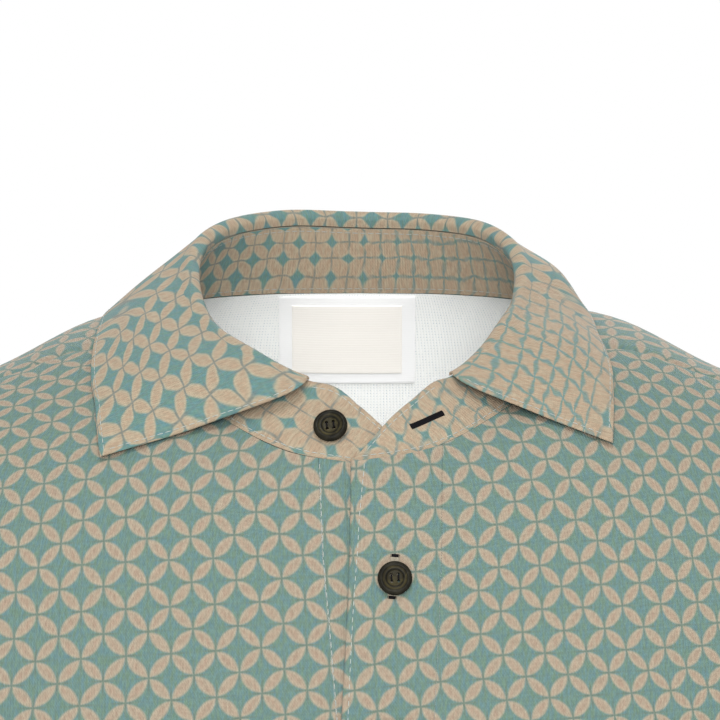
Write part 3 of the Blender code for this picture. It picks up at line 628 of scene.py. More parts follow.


# %% [markdown]
# ## Creases
# The photograph's chest is steamed smooth. Below and behind it a worn shirt has soft creases where
# it is pulled from the underarms, rests at the waist and swings at the hem. Each one is given in
# its
# own flat sizes: where it starts and ends, how wide it is and how deep.

# %% Crease helper
CREASE_BEND = 0.06                        # how far a crease bows, as a share of its length
CREASE_SPREAD, CREASE_FAN = 0.7, 0.5      # its width at its start, and what it gains to its end
CREASE_IN, CREASE_OUT = (-0.25, 0.3), (0.6, 1.2)  # where it fades in and out along its length
HOLLOW_DEPTH, HOLLOW_WIDTH = 0.35, 2.2    # the shallow hollow on both sides of its ridge


def crease_depth(flat, creases):
    """Height in metres of all the creases at flat positions. Table sizes are in millimetres."""
    height = np.zeros(flat.shape[:-1])
    for u0, v0, u1, v1, width, depth in creases:
        start, end = np.array([u0, v0]) * MM, np.array([u1, v1]) * MM
        run = end - start
        length = np.linalg.norm(run)
        along = ((flat - start) @ run) / length**2
        on_crease = np.clip(along, 0, 1)
        side = ((flat - start) @ np.array([-run[1], run[0]])) / length
        side = side - CREASE_BEND * length * np.sin(np.pi * on_crease)
        spread = width * MM * (CREASE_SPREAD + CREASE_FAN * on_crease)
        ridge = np.exp(-(side / spread) ** 2)
        hollow = HOLLOW_DEPTH * np.exp(-(side / (HOLLOW_WIDTH * spread)) ** 2)
        fade = smooth_step(along, *CREASE_IN) * (1 - smooth_step(along, *CREASE_OUT))
        height += depth * MM * (ridge - hollow) * fade
    return height


# %% [markdown]
# ## The body panels
# Front and back are cut as two panels. Their rows climb from the hem, round the armholes and up to
# the neck, exactly as the frame's do, only with more of them. Near a seam the cloth dips a little,
# because the seam pulls it in, and the panels meet in that dip.

# %% Body panel grids
SKIRT_ROWS, ARMHOLE_ROWS, YOKE_ROWS = 62, 40, 34
HALF_FRONT, SLIT_COLUMNS, BACK_COLUMNS = 62, 4, 124
SEAM_DIP, SEAM_DIP_WIDTH = 0.7 * MM, 2.4 * MM
HEM_LEVELS = (0, 0.012, 0.03, 0.06, 0.1, 0.132, 0.142, 0.152, 0.162)
SKIRT_START, HEM_TOP_LEVELS = 0.22, (0.135, 0.15)


def armhole_level(share):
    """Level on the armhole, from its underarm (0) to its shoulder (1)."""
    return UNDERARM_LEVEL + (SHOULDER_LEVEL - UNDERARM_LEVEL) * (1 - np.cos(np.pi * share)) / 2


def panel_levels():
    """Levels of a panel's rows, and how far round the armhole each is."""
    skirt = np.append(HEM_LEVELS, np.linspace(SKIRT_START, UNDERARM_LEVEL, SKIRT_ROWS))
    armhole = armhole_level(np.linspace(0, 1, ARMHOLE_ROWS + 1)[1:])
    armhole[np.argmin(np.abs(armhole - PLACKET_LEVEL))] = PLACKET_LEVEL
    yoke = np.linspace(SHOULDER_LEVEL, NECK_LEVEL, YOKE_ROWS + 1)[1:]
    share = (armhole - UNDERARM_LEVEL) / (SHOULDER_LEVEL - UNDERARM_LEVEL)
    round_armhole = [np.zeros(len(skirt)), np.arccos(1 - 2 * share) / np.pi, np.ones(len(yoke))]
    return np.concatenate([skirt, armhole, yoke]), np.concatenate(round_armhole)


def seam_angles(level, round_armhole):
    forward = smooth_curve(SEAM_LEVELS, SEAM_FORWARD, level) * round_armhole**2
    hole = np.sin(np.pi * round_armhole)
    return 90 - forward - ARMHOLE_FRONT_ANGLE * hole, 90 - forward + ARMHOLE_BACK_ANGLE * hole


def crowded(count, extra=(0.004, 0.011, 0.022)):
    """Positions from 0 to 1 with a few more close to both ends, for the seams."""
    even = np.linspace(0, 1, count + 1)[1:-1]
    clear = max(extra) * 1.4
    even = even[(even > clear) & (even < 1 - clear)]
    near = np.array(extra)
    return np.concatenate([[0], near, even, 1 - near[::-1], [1]])


def level_rows(levels, columns):
    return np.repeat(levels[:, None], columns, axis=1)


def hem_thickness(level):
    """The turned hem is two layers up to its stitch line."""
    return BODY_WALL + (HEM_WALL - BODY_WALL) * (1 - smooth_step(level, *HEM_TOP_LEVELS))


def seam_dip(gap):
    """How far the cloth sinks at a distance in metres from its seam."""
    return SEAM_DIP * np.clip(1 - gap / SEAM_DIP_WIDTH, 0, 1) ** 2


LEVELS, ROUND_ARMHOLE = panel_levels()
FRONT_EDGE, BACK_EDGE = seam_angles(LEVELS, ROUND_ARMHOLE)
print(len(LEVELS), "rows on the body")

# %% [markdown]
# ## Placket sizes
# The buttonhole strip lies on top of the button strip. The wearer's right front sinks a little to
# pass under it.

# %% Placket sizes
PLACKET_HEIGHTS = (-224, -150, -120, -95, -61)
PLACKET_EDGE_X = (-6.0, -5.3, -3.6, -2.4, -2.0)
UNDER_SEAM_X = (-7.6, -6.9, -9.4, -11.8, -13.5)
PLACKET_WIDTH, PLACKET_RISE, PLACKET_WALL = 32 * MM, 0.6 * MM, 1.6 * MM
UNDER_OVERLAP, UNDER_DROP, UNDER_DROP_WIDTH, UNDER_WALL = 20 * MM, 1.6 * MM, 30 * MM, 1.1 * MM
UNDER_DROP_LEVELS = 1.2


def placket_lines(level):
    height = ring_column("front_z", level)
    under_seam = np.interp(height, PLACKET_HEIGHTS, UNDER_SEAM_X) * MM
    edge = np.interp(height, PLACKET_HEIGHTS, PLACKET_EDGE_X) * MM
    return under_seam, edge, edge + PLACKET_WIDTH


def under_side_drop(x, level):
    seam, _, sewn_edge = placket_lines(level)
    left = smooth_step(x, seam - UNDER_DROP_WIDTH, seam)
    right = smooth_step(x, sewn_edge, seam)
    fade = smooth_step(level, PLACKET_LEVEL - UNDER_DROP_LEVELS, PLACKET_LEVEL)
    return UNDER_DROP * fade * np.where(x < seam, left, right)


# %% [markdown]
# ## One flat chart for the chest
# The front and the two plackets share one flat chart, so the print's rows run on from one to the
# next as they do on the real shirt. The back has a chart of its own.

# %% Flat charts
CHART_PASSES, CENTRE_FRONT_LEVEL = 1500, 9.0


def cubic(p0, p1, p2, p3, x):
    """A curve from p1 to p2 that leaves and arrives along the slopes of its neighbours."""
    return p1 + 0.5 * x * (p2 - p0 + x * (
        2 * p0 - 5 * p1 + 4 * p2 - p3 + x * (3 * (p1 - p2) + p3 - p0)))


def chart_at(flat, angles, levels, angle, level):
    """Flat positions between the chart's points, smooth along both directions."""
    a = (np.ravel(angle) - angles[0]) / (angles[1] - angles[0])
    b = (np.ravel(level) - levels[0]) / (levels[1] - levels[0])
    i = np.clip(np.floor(a).astype(int), 1, len(angles) - 3)
    j = np.clip(np.floor(b).astype(int), 1, len(levels) - 3)
    s, t = (a - i)[:, None], (b - j)[:, None]
    near = (-1, 0, 1, 2)
    rows = [cubic(*(flat[j + k, i + m] for m in near), s) for k in near]
    return cubic(*rows, t).reshape(np.shape(angle) + (2,))


def flat_chart(angles, levels, zero):
    """A function that gives flat positions in metres, measured from one place on the body."""
    flat = lay_flat(torso(*np.meshgrid(angles, levels)), CHART_PASSES)
    origin = chart_at(flat, angles, levels, *zero)
    return lambda angle, level: chart_at(flat, angles, levels, angle, level) - origin


CHART_LEVELS = np.linspace(0, NECK_LEVEL, 53)
front_cloth = flat_chart(np.linspace(-96, 96, 41), CHART_LEVELS, (0.0, CENTRE_FRONT_LEVEL))
back_cloth = flat_chart(np.linspace(78, 282, 43), CHART_LEVELS, (180.0, NECK_LEVEL))
front_corners = front_cloth(*np.meshgrid([-90.0, 0, 90], [0.0, UNDERARM_LEVEL, NECK_LEVEL]))
print("front cut, mm:", np.round(np.ptp(front_corners.reshape(-1, 2), axis=0) / MM))

# %% [markdown]
# ## Where the print drifts
# These factors place the lattice on the chest. The wearer's right half of the front and the left
# one, which carries the top placket, are pulled differently, so each has its own. Below the
# placket's foot the front is whole again, and one placement eases into the other.

# %% Print on the chest
# for the lattice's two counts, the factor of each of DRIFT_TERMS, and the box they were measured in
RIGHT_FRONT_DRIFT = ((15.24, 13.01, 0.23, 0.16, -1.47, 0.16, -0.01, -0.77, -1.89, 0.51),
                     (29.43, 0.86, -10.95, -1.40, -0.71, 0.92, -0.42, -1.52, 0.96, -1.69))
LEFT_FRONT_DRIFT = ((15.18, 13.94, 0.14, -0.62, 0.07, -0.80, 0.68, -0.16, -1.74, 0.32),
                    (29.34, 1.34, -10.84, -2.75, -1.27, -0.44, 0.98, -0.50, 1.15, -1.08))
RIGHT_FRONT_BOX = ((-0.146, -0.038), (-0.008, 0.077))
LEFT_FRONT_BOX = ((0.001, -0.038), (0.152, 0.081))


def chest_print(flat, left_share):
    """Lattice units on the front, from the wearer's right placement (0) to the left one (1)."""
    left_share = np.asarray(left_share)[..., None]
    return (drifted(flat, RIGHT_FRONT_DRIFT, *RIGHT_FRONT_BOX) * (1 - left_share)
            + drifted(flat, LEFT_FRONT_DRIFT, *LEFT_FRONT_BOX) * left_share)


# %% [markdown]
# ## The front panel
# One panel, slit from the neck for the placket. A crease is written as its start and its end in the
# panel's flat millimetres, its width and its depth.

# %% Front panel
FRONT_CREASES = (
    (-232, -165, -128, -232, 15, 5.0), (-236, -196, -150, -300, 18, 5.6),
    (-228, -262, -166, -368, 17, 4.0), (236, -168, 132, -228, 15, 4.7),
    (238, -202, 146, -312, 18, 5.9), (230, -272, 172, -360, 15, 3.7),
    (-190, -392, -60, -418, 20, 4.0), (196, -386, 74, -424, 22, 4.3),
    (-86, -352, 40, -372, 18, 2.5), (-140, -560, -152, -668, 26, 5.3),
    (-36, -590, -30, -676, 24, 3.7), (70, -552, 84, -672, 27, 5.0),
    (172, -566, 182, -668, 24, 4.3), (-210, -470, -160, -520, 18, 3.4),
    (214, -462, 168, -522, 18, 3.7),
)


PRINT_FADE_LEVELS, PRINT_FADE_X = 1.5, (-40 * MM, 50 * MM)


def along_rows(points):
    """Distance in metres along each row from its first point, and from its last."""
    reach = run_length(points, 1)
    return reach, reach[:, -1:] - reach


def front_panel():
    half = crowded(HALF_FRONT)
    seam, _, sewn_edge = placket_lines(LEVELS)
    left, right = (angle_at_x(x, LEVELS)[:, None] for x in (seam, sewn_edge))
    edge = FRONT_EDGE[:, None]
    slit = np.linspace(0, 1, SLIT_COLUMNS + 1)[1:-1]
    angles = np.concatenate([-edge + (left + edge) * half, left + (right - left) * slit,
                             right + (edge - right) * half], axis=1)
    levels = level_rows(LEVELS, angles.shape[1])
    plain, flat = torso(angles, levels), front_cloth(angles, levels)
    dip = seam_dip(np.minimum(*along_rows(plain)))
    first_left = len(half) + SLIT_COLUMNS - 1
    is_left = np.arange(angles.shape[1]) >= first_left
    below = smooth_step(levels, PLACKET_LEVEL, PLACKET_LEVEL - PRINT_FADE_LEVELS)
    share = is_left * (1 - below) + smooth_step(flat[..., 0], *PRINT_FADE_X) * below
    lift = crease_depth(flat, FRONT_CREASES) - under_side_drop(plain[..., 0], levels) - dip
    outer = on_torso(angles, levels, lift)
    inner = on_torso(angles, levels, lift - hem_thickness(levels))
    present = np.ones((len(LEVELS) - 1, angles.shape[1] - 1), bool)
    present[LEVELS[:-1] >= PLACKET_LEVEL - 1e-6, len(half) - 1:first_left] = False
    piece = cloth_shell("front_panel", outer, inner, flat, chest_print(flat, share), BODY_FINISHES,
                        "front_body", present=present)
    return piece, flat, outer


front_piece, front_cut, front_face = front_panel()

# %% [markdown]
# ## The back panel
# The back reaches over the shoulders to the forward shoulder seams. Its inside shows through the
# neck, so it gets the unprinted face of the knit there.

# %% Back panel
BACK_CREASES = (
    (-205, -170, -110, -236, 16, 4.7), (-214, -214, -130, -330, 19, 5.9),
    (204, -176, 118, -226, 15, 5.0), (212, -222, 126, -322, 20, 5.3),
    (-60, -372, 52, -390, 22, 5.0), (-176, -402, -70, -436, 22, 4.7),
    (180, -408, 66, -446, 20, 5.3), (-40, -446, 84, -470, 20, 3.4),
    (-120, -580, -132, -700, 28, 5.6), (-10, -596, -16, -700, 24, 4.0),
    (92, -574, 108, -700, 27, 5.3), (196, -540, 204, -690, 22, 4.0),
    (-200, -500, -150, -560, 18, 3.4),
)


def back_panel():
    across = crowded(BACK_COLUMNS, (0.002, 0.006, 0.012))
    edge = BACK_EDGE[:, None]
    angles = edge + (360 - 2 * edge) * across
    levels = level_rows(LEVELS, angles.shape[1])
    flat = back_cloth(angles, levels)
    dip = seam_dip(np.minimum(*along_rows(torso(angles, levels))))
    lift = crease_depth(flat * np.array([-1, 1]), BACK_CREASES) - dip
    outer = on_torso(angles, levels, lift)
    inner = on_torso(angles, levels, lift - hem_thickness(levels))
    piece = cloth_shell("back_panel", outer, inner, flat, straight_print(flat, 2.0, (0.4, 0.2)),
                        BODY_FINISHES, "back_body")
    return piece, flat, outer


back_piece, back_cut, back_face = back_panel()

# %% [markdown]
# ## The sleeves
# A set-in sleeve is a tube whose top follows the armhole and whose foot is a turned hem. It is
# divided round from the underarm seam, so that its flat cut opens there.

# %% Sleeves
SLEEVE_START, SLEEVE_AXIS = unit(np.array([0.80, 0.0, -0.60])), unit(np.array([0.5, 0.0, -0.866]))
CUFF_CENTRE, CUFF_HALF_HEIGHT, CUFF_HALF_DEPTH = np.array([290, -4, -292]) * MM, 57 * MM, 63 * MM
CUFF_STEPS = (0.06, 0.12, 0.3, 0.5, 0.7, 0.85, 0.95, 0.985, 1.0)  # rows of its turned hem
CUFF_WALLS = np.array([0.55] + [1.0] * (len(CUFF_STEPS) - 1)) * HEM_WALL
SLEEVE_FULLNESS, SLEEVE_ROWS, SLEEVE_HALF_COLUMNS = 0.9, 46, 56
SLEEVE_CREASES = (
    (-190, -44, -96, -96, 13, 4.7), (-186, -84, -70, -150, 15, 5.0),
    (188, -40, 88, -92, 13, 4.7), (186, -92, 62, -160, 15, 4.0),
    (-40, -96, -62, -176, 16, 2.8), (24, -112, 40, -190, 17, 3.1),
    (-120, -150, -136, -196, 14, 2.8), (124, -160, 132, -200, 14, 2.5),
)


def armhole_loop():
    share = np.linspace(0, 1, SLEEVE_HALF_COLUMNS + 1)
    front, back = seam_angles(armhole_level(share), share)
    levels = armhole_level(share)
    return np.concatenate([torso(front, levels)[::-1], torso(back, levels)[1:-1]])


def cuff_loop(turns):
    up, forward = np.array([-SLEEVE_AXIS[2], 0, SLEEVE_AXIS[0]]), np.array([0, -1.0, 0])
    angle = 2 * np.pi * turns[:, None]
    return (CUFF_CENTRE + CUFF_HALF_HEIGHT * np.cos(angle) * up
            + CUFF_HALF_DEPTH * np.sin(angle) * forward)


def loop_turns(loop):
    """How far round the armhole each point is, with the shoulder half a turn from the underarm."""
    reach, half = run_length(np.concatenate([loop, loop[:1]])), SLEEVE_HALF_COLUMNS
    front = reach[:half + 1] / reach[half] / 2
    back = 0.5 + (reach[half + 1:-1] - reach[half]) / (reach[-1] - reach[half]) / 2
    return np.concatenate([front, back])


def sleeve_rows():
    """Points of the left sleeve's outer face from armhole to cuff, and the cloth's thickness."""
    start = armhole_loop()
    hem_top = cuff_loop(loop_turns(start)) - SLEEVE_AXIS * HEM_DEPTH
    start = start + SLEEVE_START * SEAM_GAP * SEAM_SHARE
    length = np.linalg.norm(hem_top - start, axis=1, keepdims=True) * SLEEVE_FULLNESS
    rows = []
    for t in crowded(SLEEVE_ROWS, (0.006, 0.014, 0.028)):
        leave = (2 * t**3 - 3 * t**2 + 1) * start + (t**3 - 2 * t**2 + t) * SLEEVE_START * length
        rows.append(leave + (3 * t**2 - 2 * t**3) * hem_top + (t**3 - t**2) * SLEEVE_AXIS * length)
    wall = np.append(np.full(len(rows), BODY_WALL), CUFF_WALLS)
    rows += [hem_top + SLEEVE_AXIS * HEM_DEPTH * t for t in CUFF_STEPS]
    return np.roll(np.array(rows), -SLEEVE_HALF_COLUMNS, axis=1), wall


def sleeves():
    points, wall = sleeve_rows()
    flat = flat_grid(np.concatenate([points, points[:, :1]], axis=1))
    flat[..., 1] *= -1
    flat -= flat[0].max(axis=0) * np.array([0, 1.0])
    flat[..., 0] -= flat[..., 0].mean()
    normals, dip = grid_normals(points, wrap=True), seam_dip(run_length(points))
    made, faces = [], []
    for name, side, turn in (("sleeve_left", 1, 3.0), ("sleeve_right", -1, -4.0)):
        creases = [(u0 * side, v0, u1 * side, v1, width, depth)
                   for u0, v0, u1, v1, width, depth in SLEEVE_CREASES]
        lift = crease_depth(flat[:, :-1], creases) - dip
        mirror, cloth = np.array([side, 1, 1]), flat * np.array([side, 1])
        outer = (points + normals * lift[..., None]) * mirror
        inner = (points + normals * (lift - wall[:, None])[..., None]) * mirror
        counts = straight_print(cloth, turn, (0.3 * side, 0.7))
        made.append(cloth_shell(name + "_cloth", outer, inner, cloth, counts, BODY_FINISHES,
                                name, wrap=True))
        faces.append(outer)
    return made, flat, faces


sleeve_pieces, sleeve_cut, sleeve_faces = sleeves()

# %% [markdown]
# ## The placket
# Two folded strips. The top one carries the buttonholes, and its folded edge is rounded, so its
# face sinks over the last millimetre to the edge.

# %% Placket strips
PLACKET_FOLD, PLACKET_EASE, FOLD_SHARE = 1.1 * MM, 8 * MM, 0.9
SEWN_DIP, PLACKET_COLUMNS = 0.15, 22  # SEWN_DIP is a share of a body seam's dip
PLACKET_FOOT_LEVELS, PLACKET_ROW_GAP = np.array([0, 0.03, 0.08]), 0.02
EDGE_GROOVE, EDGE_GROOVE_AT, EDGE_GROOVE_WIDTH = 0.12 * MM, 5.2 * MM, 0.9 * MM


def fold_round(gap, wall, radius):
    """How far a face sinks towards the middle of its wall at a distance from a folded edge."""
    t = np.clip(1 - gap / radius, 0, 1)
    return 0.5 * wall * (1 - np.sqrt(1 - t**2)) * FOLD_SHARE


def placket_strip(name, node, left, right, lift, thickness, left_share):
    """A folded strip. The top one has left_share 1 and its fold first, the other one last."""
    foot = level_at("front_z", ring_column("front_z", PLACKET_LEVEL) * MM + SEAM_GAP)
    first = foot + PLACKET_FOOT_LEVELS
    levels = np.append(first, LEVELS[LEVELS > first[-1] + PLACKET_ROW_GAP])
    across = crowded(PLACKET_COLUMNS, (0.008, 0.018, 0.034, 0.06))
    rows = level_rows(levels, len(across))
    left, right = left(levels)[:, None], right(levels)[:, None]
    angles = angle_at_x(left + (right - left) * across, rows)
    from_left, from_right = along_rows(torso(angles, rows))
    folded, sewn = (from_left, from_right) if left_share else (from_right, from_left)
    sink = fold_round(folded, thickness, PLACKET_FOLD) + SEWN_DIP * seam_dip(sewn)
    groove = 0.0
    if left_share:
        lift = lift * smooth_step(from_right, 0, PLACKET_EASE)
        groove = EDGE_GROOVE * np.exp(-((from_left - EDGE_GROOVE_AT) / EDGE_GROOVE_WIDTH) ** 2)
    outer = on_torso(angles, rows, lift - sink - groove)
    inner = on_torso(angles, rows, lift - thickness + sink)
    flat = front_cloth(angles, rows)
    piece = cloth_shell(name, outer, inner, flat, chest_print(flat, left_share), (body_knit,) * 3,
                        node)
    return piece, flat


top_strip, top_cut = placket_strip(
    "placket_top_strip", "placket_top", lambda level: placket_lines(level)[1],
    lambda level: placket_lines(level)[2] - SEAM_GAP / 3, PLACKET_RISE, PLACKET_WALL, 1.0)
under_strip, under_cut = placket_strip(
    "placket_under_strip", "placket_under", lambda level: placket_lines(level)[0] + SEAM_GAP / 3,
    lambda level: placket_lines(level)[1] + UNDER_OVERLAP, -UNDER_DROP, UNDER_WALL, 0.0)


# %% [markdown]
# ## The collar stand
# A band round the neck, open at the front. Its wearer's left end laps over the right one, and the
# two ends are rounded. Both faces are printed. Its places are given by a turn round the neck from
# the centre back, and by a share of its height.

# %% Collar stand
STAND_TOP_SIDE, STAND_TOP_FRONT, STAND_TOP_BACK = 59 * MM, 75 * MM, 50 * MM
STAND_RISE = (  # turn, and how high the stand's top is over the neck seam in millimetres
    (-196, 26), (-180, 26), (-158, 24.4), (-144, 22.4), (-133, 20), (-120, 17), (-105, 16.5),
    (-90, 18), (-70, 20.8), (-50, 23.2), (-25, 24.8), (0, 24), (25, 23.4), (50, 22), (70, 19),
    (90, 16), (102, 14.5), (119, 17.4), (133, 16.8), (144, 17.5), (153, 20.7), (162, 22),
    (172, 25), (182, 26),
)
STAND_START, STAND_END = -195.5, 181.5
STAND_ROUND_LEFT, STAND_ROUND_RIGHT, STAND_ROUND_ANGLES = 28 * MM, 33 * MM, (-150, 130)
STAND_END_HEIGHT, STAND_FOLD = 0.03, 0.9 * MM
STAND_LAP, STAND_LAP_ANGLES, STAND_LAP_DROP = 1.8 * MM, (-170, -150), 0.7 * MM
STAND_WALL, STAND_SEAM_GAP = 1.2 * MM, 0.5 * MM
STAND_COLUMNS, STAND_ROWS, STAND_END_BUNCHING, STAND_SEWN = 180, 22, 0.3, (-163.5, 146)
STAND_INSIDE_PAINTED_LIGHT = 1.25  # painted light: the inside's printed colour is painted a quarter paler in place of light
STAND_RIGHT_DRIFT = ((2.71, 1.49, 15.39), (-18.63, -10.32, 1.20))
STAND_LEFT_DRIFT = ((28.73, -14.11, 0.27), (10.15, -4.45, -13.07))
STAND_INSIDE_DRIFT = ((5.23, 15.92, -0.57, 0.40, -4.14, 7.12),
                      (2.44, 0.0, -13.44, 0.26, 0.91, -20.85))
STAND_INSIDE_BOX, STAND_SPLIT = ((-0.062, -0.014), (0.062, 0.016)), (-50 * MM, 50 * MM)
# the petals' reach and the web, each growing by so much from one flat place along to another
STAND_PETAL = (1.08, (0.14, -0.05, 0.2), (0.12, -0.16, -0.21))
STAND_INSIDE_PETAL = (1.0, (0.3, -0.07, 0.055))
STAND_WEB, STAND_INSIDE_WEB = (0.0, (0.6, 0.1, 0.2)), (0.0, (0.75, -0.01, 0.03))


def stand_end_shape(turn):
    x = STAND_TOP_SIDE * np.sin(np.radians(turn))
    end_x = STAND_TOP_SIDE * np.sin(np.radians([STAND_START, STAND_END]))
    left = np.where(turn < STAND_ROUND_ANGLES[0], end_x[0] - x, STAND_ROUND_LEFT)
    right = np.where(turn > STAND_ROUND_ANGLES[1], x - end_x[1], STAND_ROUND_RIGHT)
    left = np.clip(left / STAND_ROUND_LEFT, STAND_END_HEIGHT, 1)
    right = np.clip(right / STAND_ROUND_RIGHT, STAND_END_HEIGHT, 1)
    return np.sin(np.pi / 2 * left) * np.sin(np.pi / 2 * right)


def stand_top(turn):
    sine, cosine = np.sin(np.radians(turn)), np.cos(np.radians(turn))
    z = (neck_seam_height(180 - np.asarray(turn)) + smooth_curve(*zip(*STAND_RISE), turn)) * MM
    depth = np.where(cosine > 0, STAND_TOP_BACK, STAND_TOP_FRONT)
    return np.stack([STAND_TOP_SIDE * sine, depth * cosine, z], axis=-1)


def stand_points(turn, up):
    turn = np.asarray(turn, float)
    seam, full = torso(180 - turn, NECK_LEVEL), stand_top(turn)
    seam = seam + unit(full - seam) * STAND_SEAM_GAP * SEAM_SHARE
    points = seam + (full - seam) * (up * stand_end_shape(turn))[..., None]
    lap = smooth_step(turn, STAND_LAP_ANGLES[1], STAND_LAP_ANGLES[0])
    inward = unit(points * np.array([-1, -1, 0])) * (STAND_LAP * lap)[..., None]
    down = np.array([0, 0, -1.0]) * (STAND_LAP_DROP * (1 - up) * lap)[..., None]
    return points + inward + down


def growing(flat, start, *steps):
    """A value along a piece: it starts at start and grows by amount between two flat places."""
    return start + sum(amount * smooth_step(flat[..., 0], low, high) for amount, low, high in steps)


def collar_stand():
    even = crowded(STAND_COLUMNS, (0.0009, 0.0022, 0.004))
    spread = even + ((1 - np.cos(np.pi * even)) / 2 - even) * STAND_END_BUNCHING
    turns, ups = np.meshgrid(STAND_END + (STAND_START - STAND_END) * spread,
                             crowded(STAND_ROWS, (0.02, 0.05, 0.1)))
    middle = stand_points(turns, ups)
    normals, from_seam = grid_normals(middle), run_length(middle)
    sewn = (turns > STAND_SEWN[0]) & (turns < STAND_SEWN[1])
    edge_gap = np.minimum(from_seam[-1] - from_seam, np.minimum(*along_rows(middle)))
    sink = fold_round(np.where(sewn, 1.0, edge_gap), STAND_WALL, STAND_FOLD)
    outer = middle - normals * sink[..., None]
    inner = middle - normals * (STAND_WALL - sink)[..., None]
    flat = flat_grid(middle, 8)
    flat = (flat - flat.mean(axis=(0, 1))) * np.array([-1, 1])
    left_share = smooth_step(flat[..., :1], *STAND_SPLIT)
    outside = ((1 - left_share) * polynomial(flat, STAND_RIGHT_DRIFT)
               + left_share * polynomial(flat, STAND_LEFT_DRIFT))
    piece = cloth_shell("collar_stand_band", outer, inner, flat, outside, COLLAR_FINISHES,
                        "collar_stand",
                        inner_print=drifted(flat, STAND_INSIDE_DRIFT, *STAND_INSIDE_BOX),
                        petal=(growing(flat, *STAND_PETAL), growing(flat, *STAND_INSIDE_PETAL)),
                        web=(growing(flat, *STAND_WEB), growing(flat, *STAND_INSIDE_WEB)),
                        # painted light: the inside face's printed colour is made paler
                        tone_and_painted_light=(1.0, STAND_INSIDE_PAINTED_LIGHT))
    faces = (outer, normals), (inner, -normals)
    return piece, flat, *(np.concatenate(pair, axis=2) for pair in faces)


stand_piece, stand_cut, stand_outside, stand_inside = collar_stand()

# %% [markdown]
# ## The collar leaf
# The leaf is sewn to the top of the stand, rolls over and falls to its points. Its section is a
# curve through six places, and every section is placed by one row of a table. On the wearer's left
# the petals grow until they touch, and the print turns into a net of swelling lines.

# %% Collar leaf
LEAF = (  # turn, height of the roll, the edge's angle, level and lift on the body, and bulge
    (-163.5, 1.6, -41.7, 11.04, 3.0, -2.5),
    (-150, 3.0, -46.8, 11.30, 2.8, -1.0),
    (-138, 4.0, -53.9, 11.59, 2.5, 0.3),
    (-126, 4.2, -60.5, 11.76, 2.2, 1.0),
    (-114, 4.6, -67.4, 11.92, 2.2, 1.0),
    (-102, 5.0, -74.6, 12.06, 2.0, 1.0),
    (-92, 5.2, -84.6, 12.20, 2.0, 1.0),
    (-84, 5.2, -92.5, 12.24, 2.0, 1.0),
    (-65, 5.6, -114, 12.30, 2.0, 0.5),
    (0, 6.2, -180, 12.0, 2.0, 1.5),
    (65, 5.6, -246, 12.40, 2.0, 3.0),
    (84, 5.2, -263.7, 12.53, 2.0, 2.5),
    (92, 5.0, -276.8, 12.44, 2.0, 0.5),
    (102, 4.6, -287.0, 12.22, 2.0, 1.0),
    (114, 4.2, -297.3, 11.93, 2.2, 1.0),
    (124, 3.6, -303.3, 11.75, 2.5, 0.6),
    (134, 2.6, -310.0, 11.49, 2.8, 0.0),
    (146, 1.6, -315.5, 11.22, 3.0, -1.0),
)
LEAF_TABLE = np.array(LEAF, float)
LEAF_ROLL_OUT, LEAF_ROLL_LEAST, LEAF_SIDE_IN = 0.75, 1.2 * MM, 0.3 * MM
LEAF_SIDE_UP, LEAF_CREST_OUT, LEAF_BULGE_OUT = 0.55, 0.35, 0.5
LEAF_WALL, LEAF_FOLD, LEAF_SECTIONS, LEAF_FALL_ROWS = 1.2 * MM, 1.0 * MM, 190, 34
LEAF_ROLL_STEPS = np.linspace(0, 3, 17)
LEAF_EDGE_STEPS = 5 - np.array([0.06, 0.035, 0.018, 0.007, 0])
LEAF_GROOVE, LEAF_GROOVE_AT, LEAF_GROOVE_WIDTH = 0.1 * MM, 2.2 * MM, 0.5 * MM
LEAF_DRIFT_TERMS = ((0, 0), (1, 0), (2, 0), (3, 0), (4, 0), (5, 0), (0, 1), (1, 1), (2, 1), (3, 1),
                    (4, 1), (0, 2), (1, 2), (2, 2), (3, 2))
LEAF_DRIFT = (
    (-2.83, -0.3, 0.54, 0.03, -0.17, 0.02, -15.77, 1.55, -1.14, -0.69, 0.41, -0.49, 1.48, -1.99,
     -0.93),
    (-18.54, -14.85, -0.9, 1.35, 0.14, -0.15, -0.54, 3.62, -1.12, -0.23, 0.48, -1.17, 4.84, 1.38,
     -0.73),
)
LEAF_WEB_FROM, LEAF_WEB_BELOW, LEAF_PETAL = (0.10, 0.15), (0.03, 0.012), (1.02, 0.38)


def leaf_points(turn, steps):
    row = smooth_curve(LEAF_TABLE[:, 0], LEAF_TABLE, turn)
    _, roll, edge_angle, edge_level, edge_lift, bulge = row * np.array([1, MM, 1, 1, MM, MM])
    top, upward = stand_top(turn), np.array([0, 0, 1.0])
    outward = unit(top * np.array([1, 1, 0]))
    roll_out = LEAF_ROLL_OUT * roll + LEAF_ROLL_LEAST
    start = top + upward * STAND_SEAM_GAP * SEAM_SHARE - outward * STAND_WALL
    inner_side = start + upward * roll * LEAF_SIDE_UP - outward * LEAF_SIDE_IN
    crest = top + upward * roll + outward * roll_out * LEAF_CREST_OUT
    shoulder = top + upward * roll * LEAF_SIDE_UP + outward * roll_out
    edge = on_torso(edge_angle, edge_level, edge_lift)
    middle = (shoulder + edge) / 2 + (outward * LEAF_BULGE_OUT + upward) * bulge
    knots = np.array([start, inner_side, crest, shoulder, middle, edge])
    lengths = run_length(knots)
    return smooth_curve(lengths, knots, np.interp(steps, range(len(knots)), lengths))


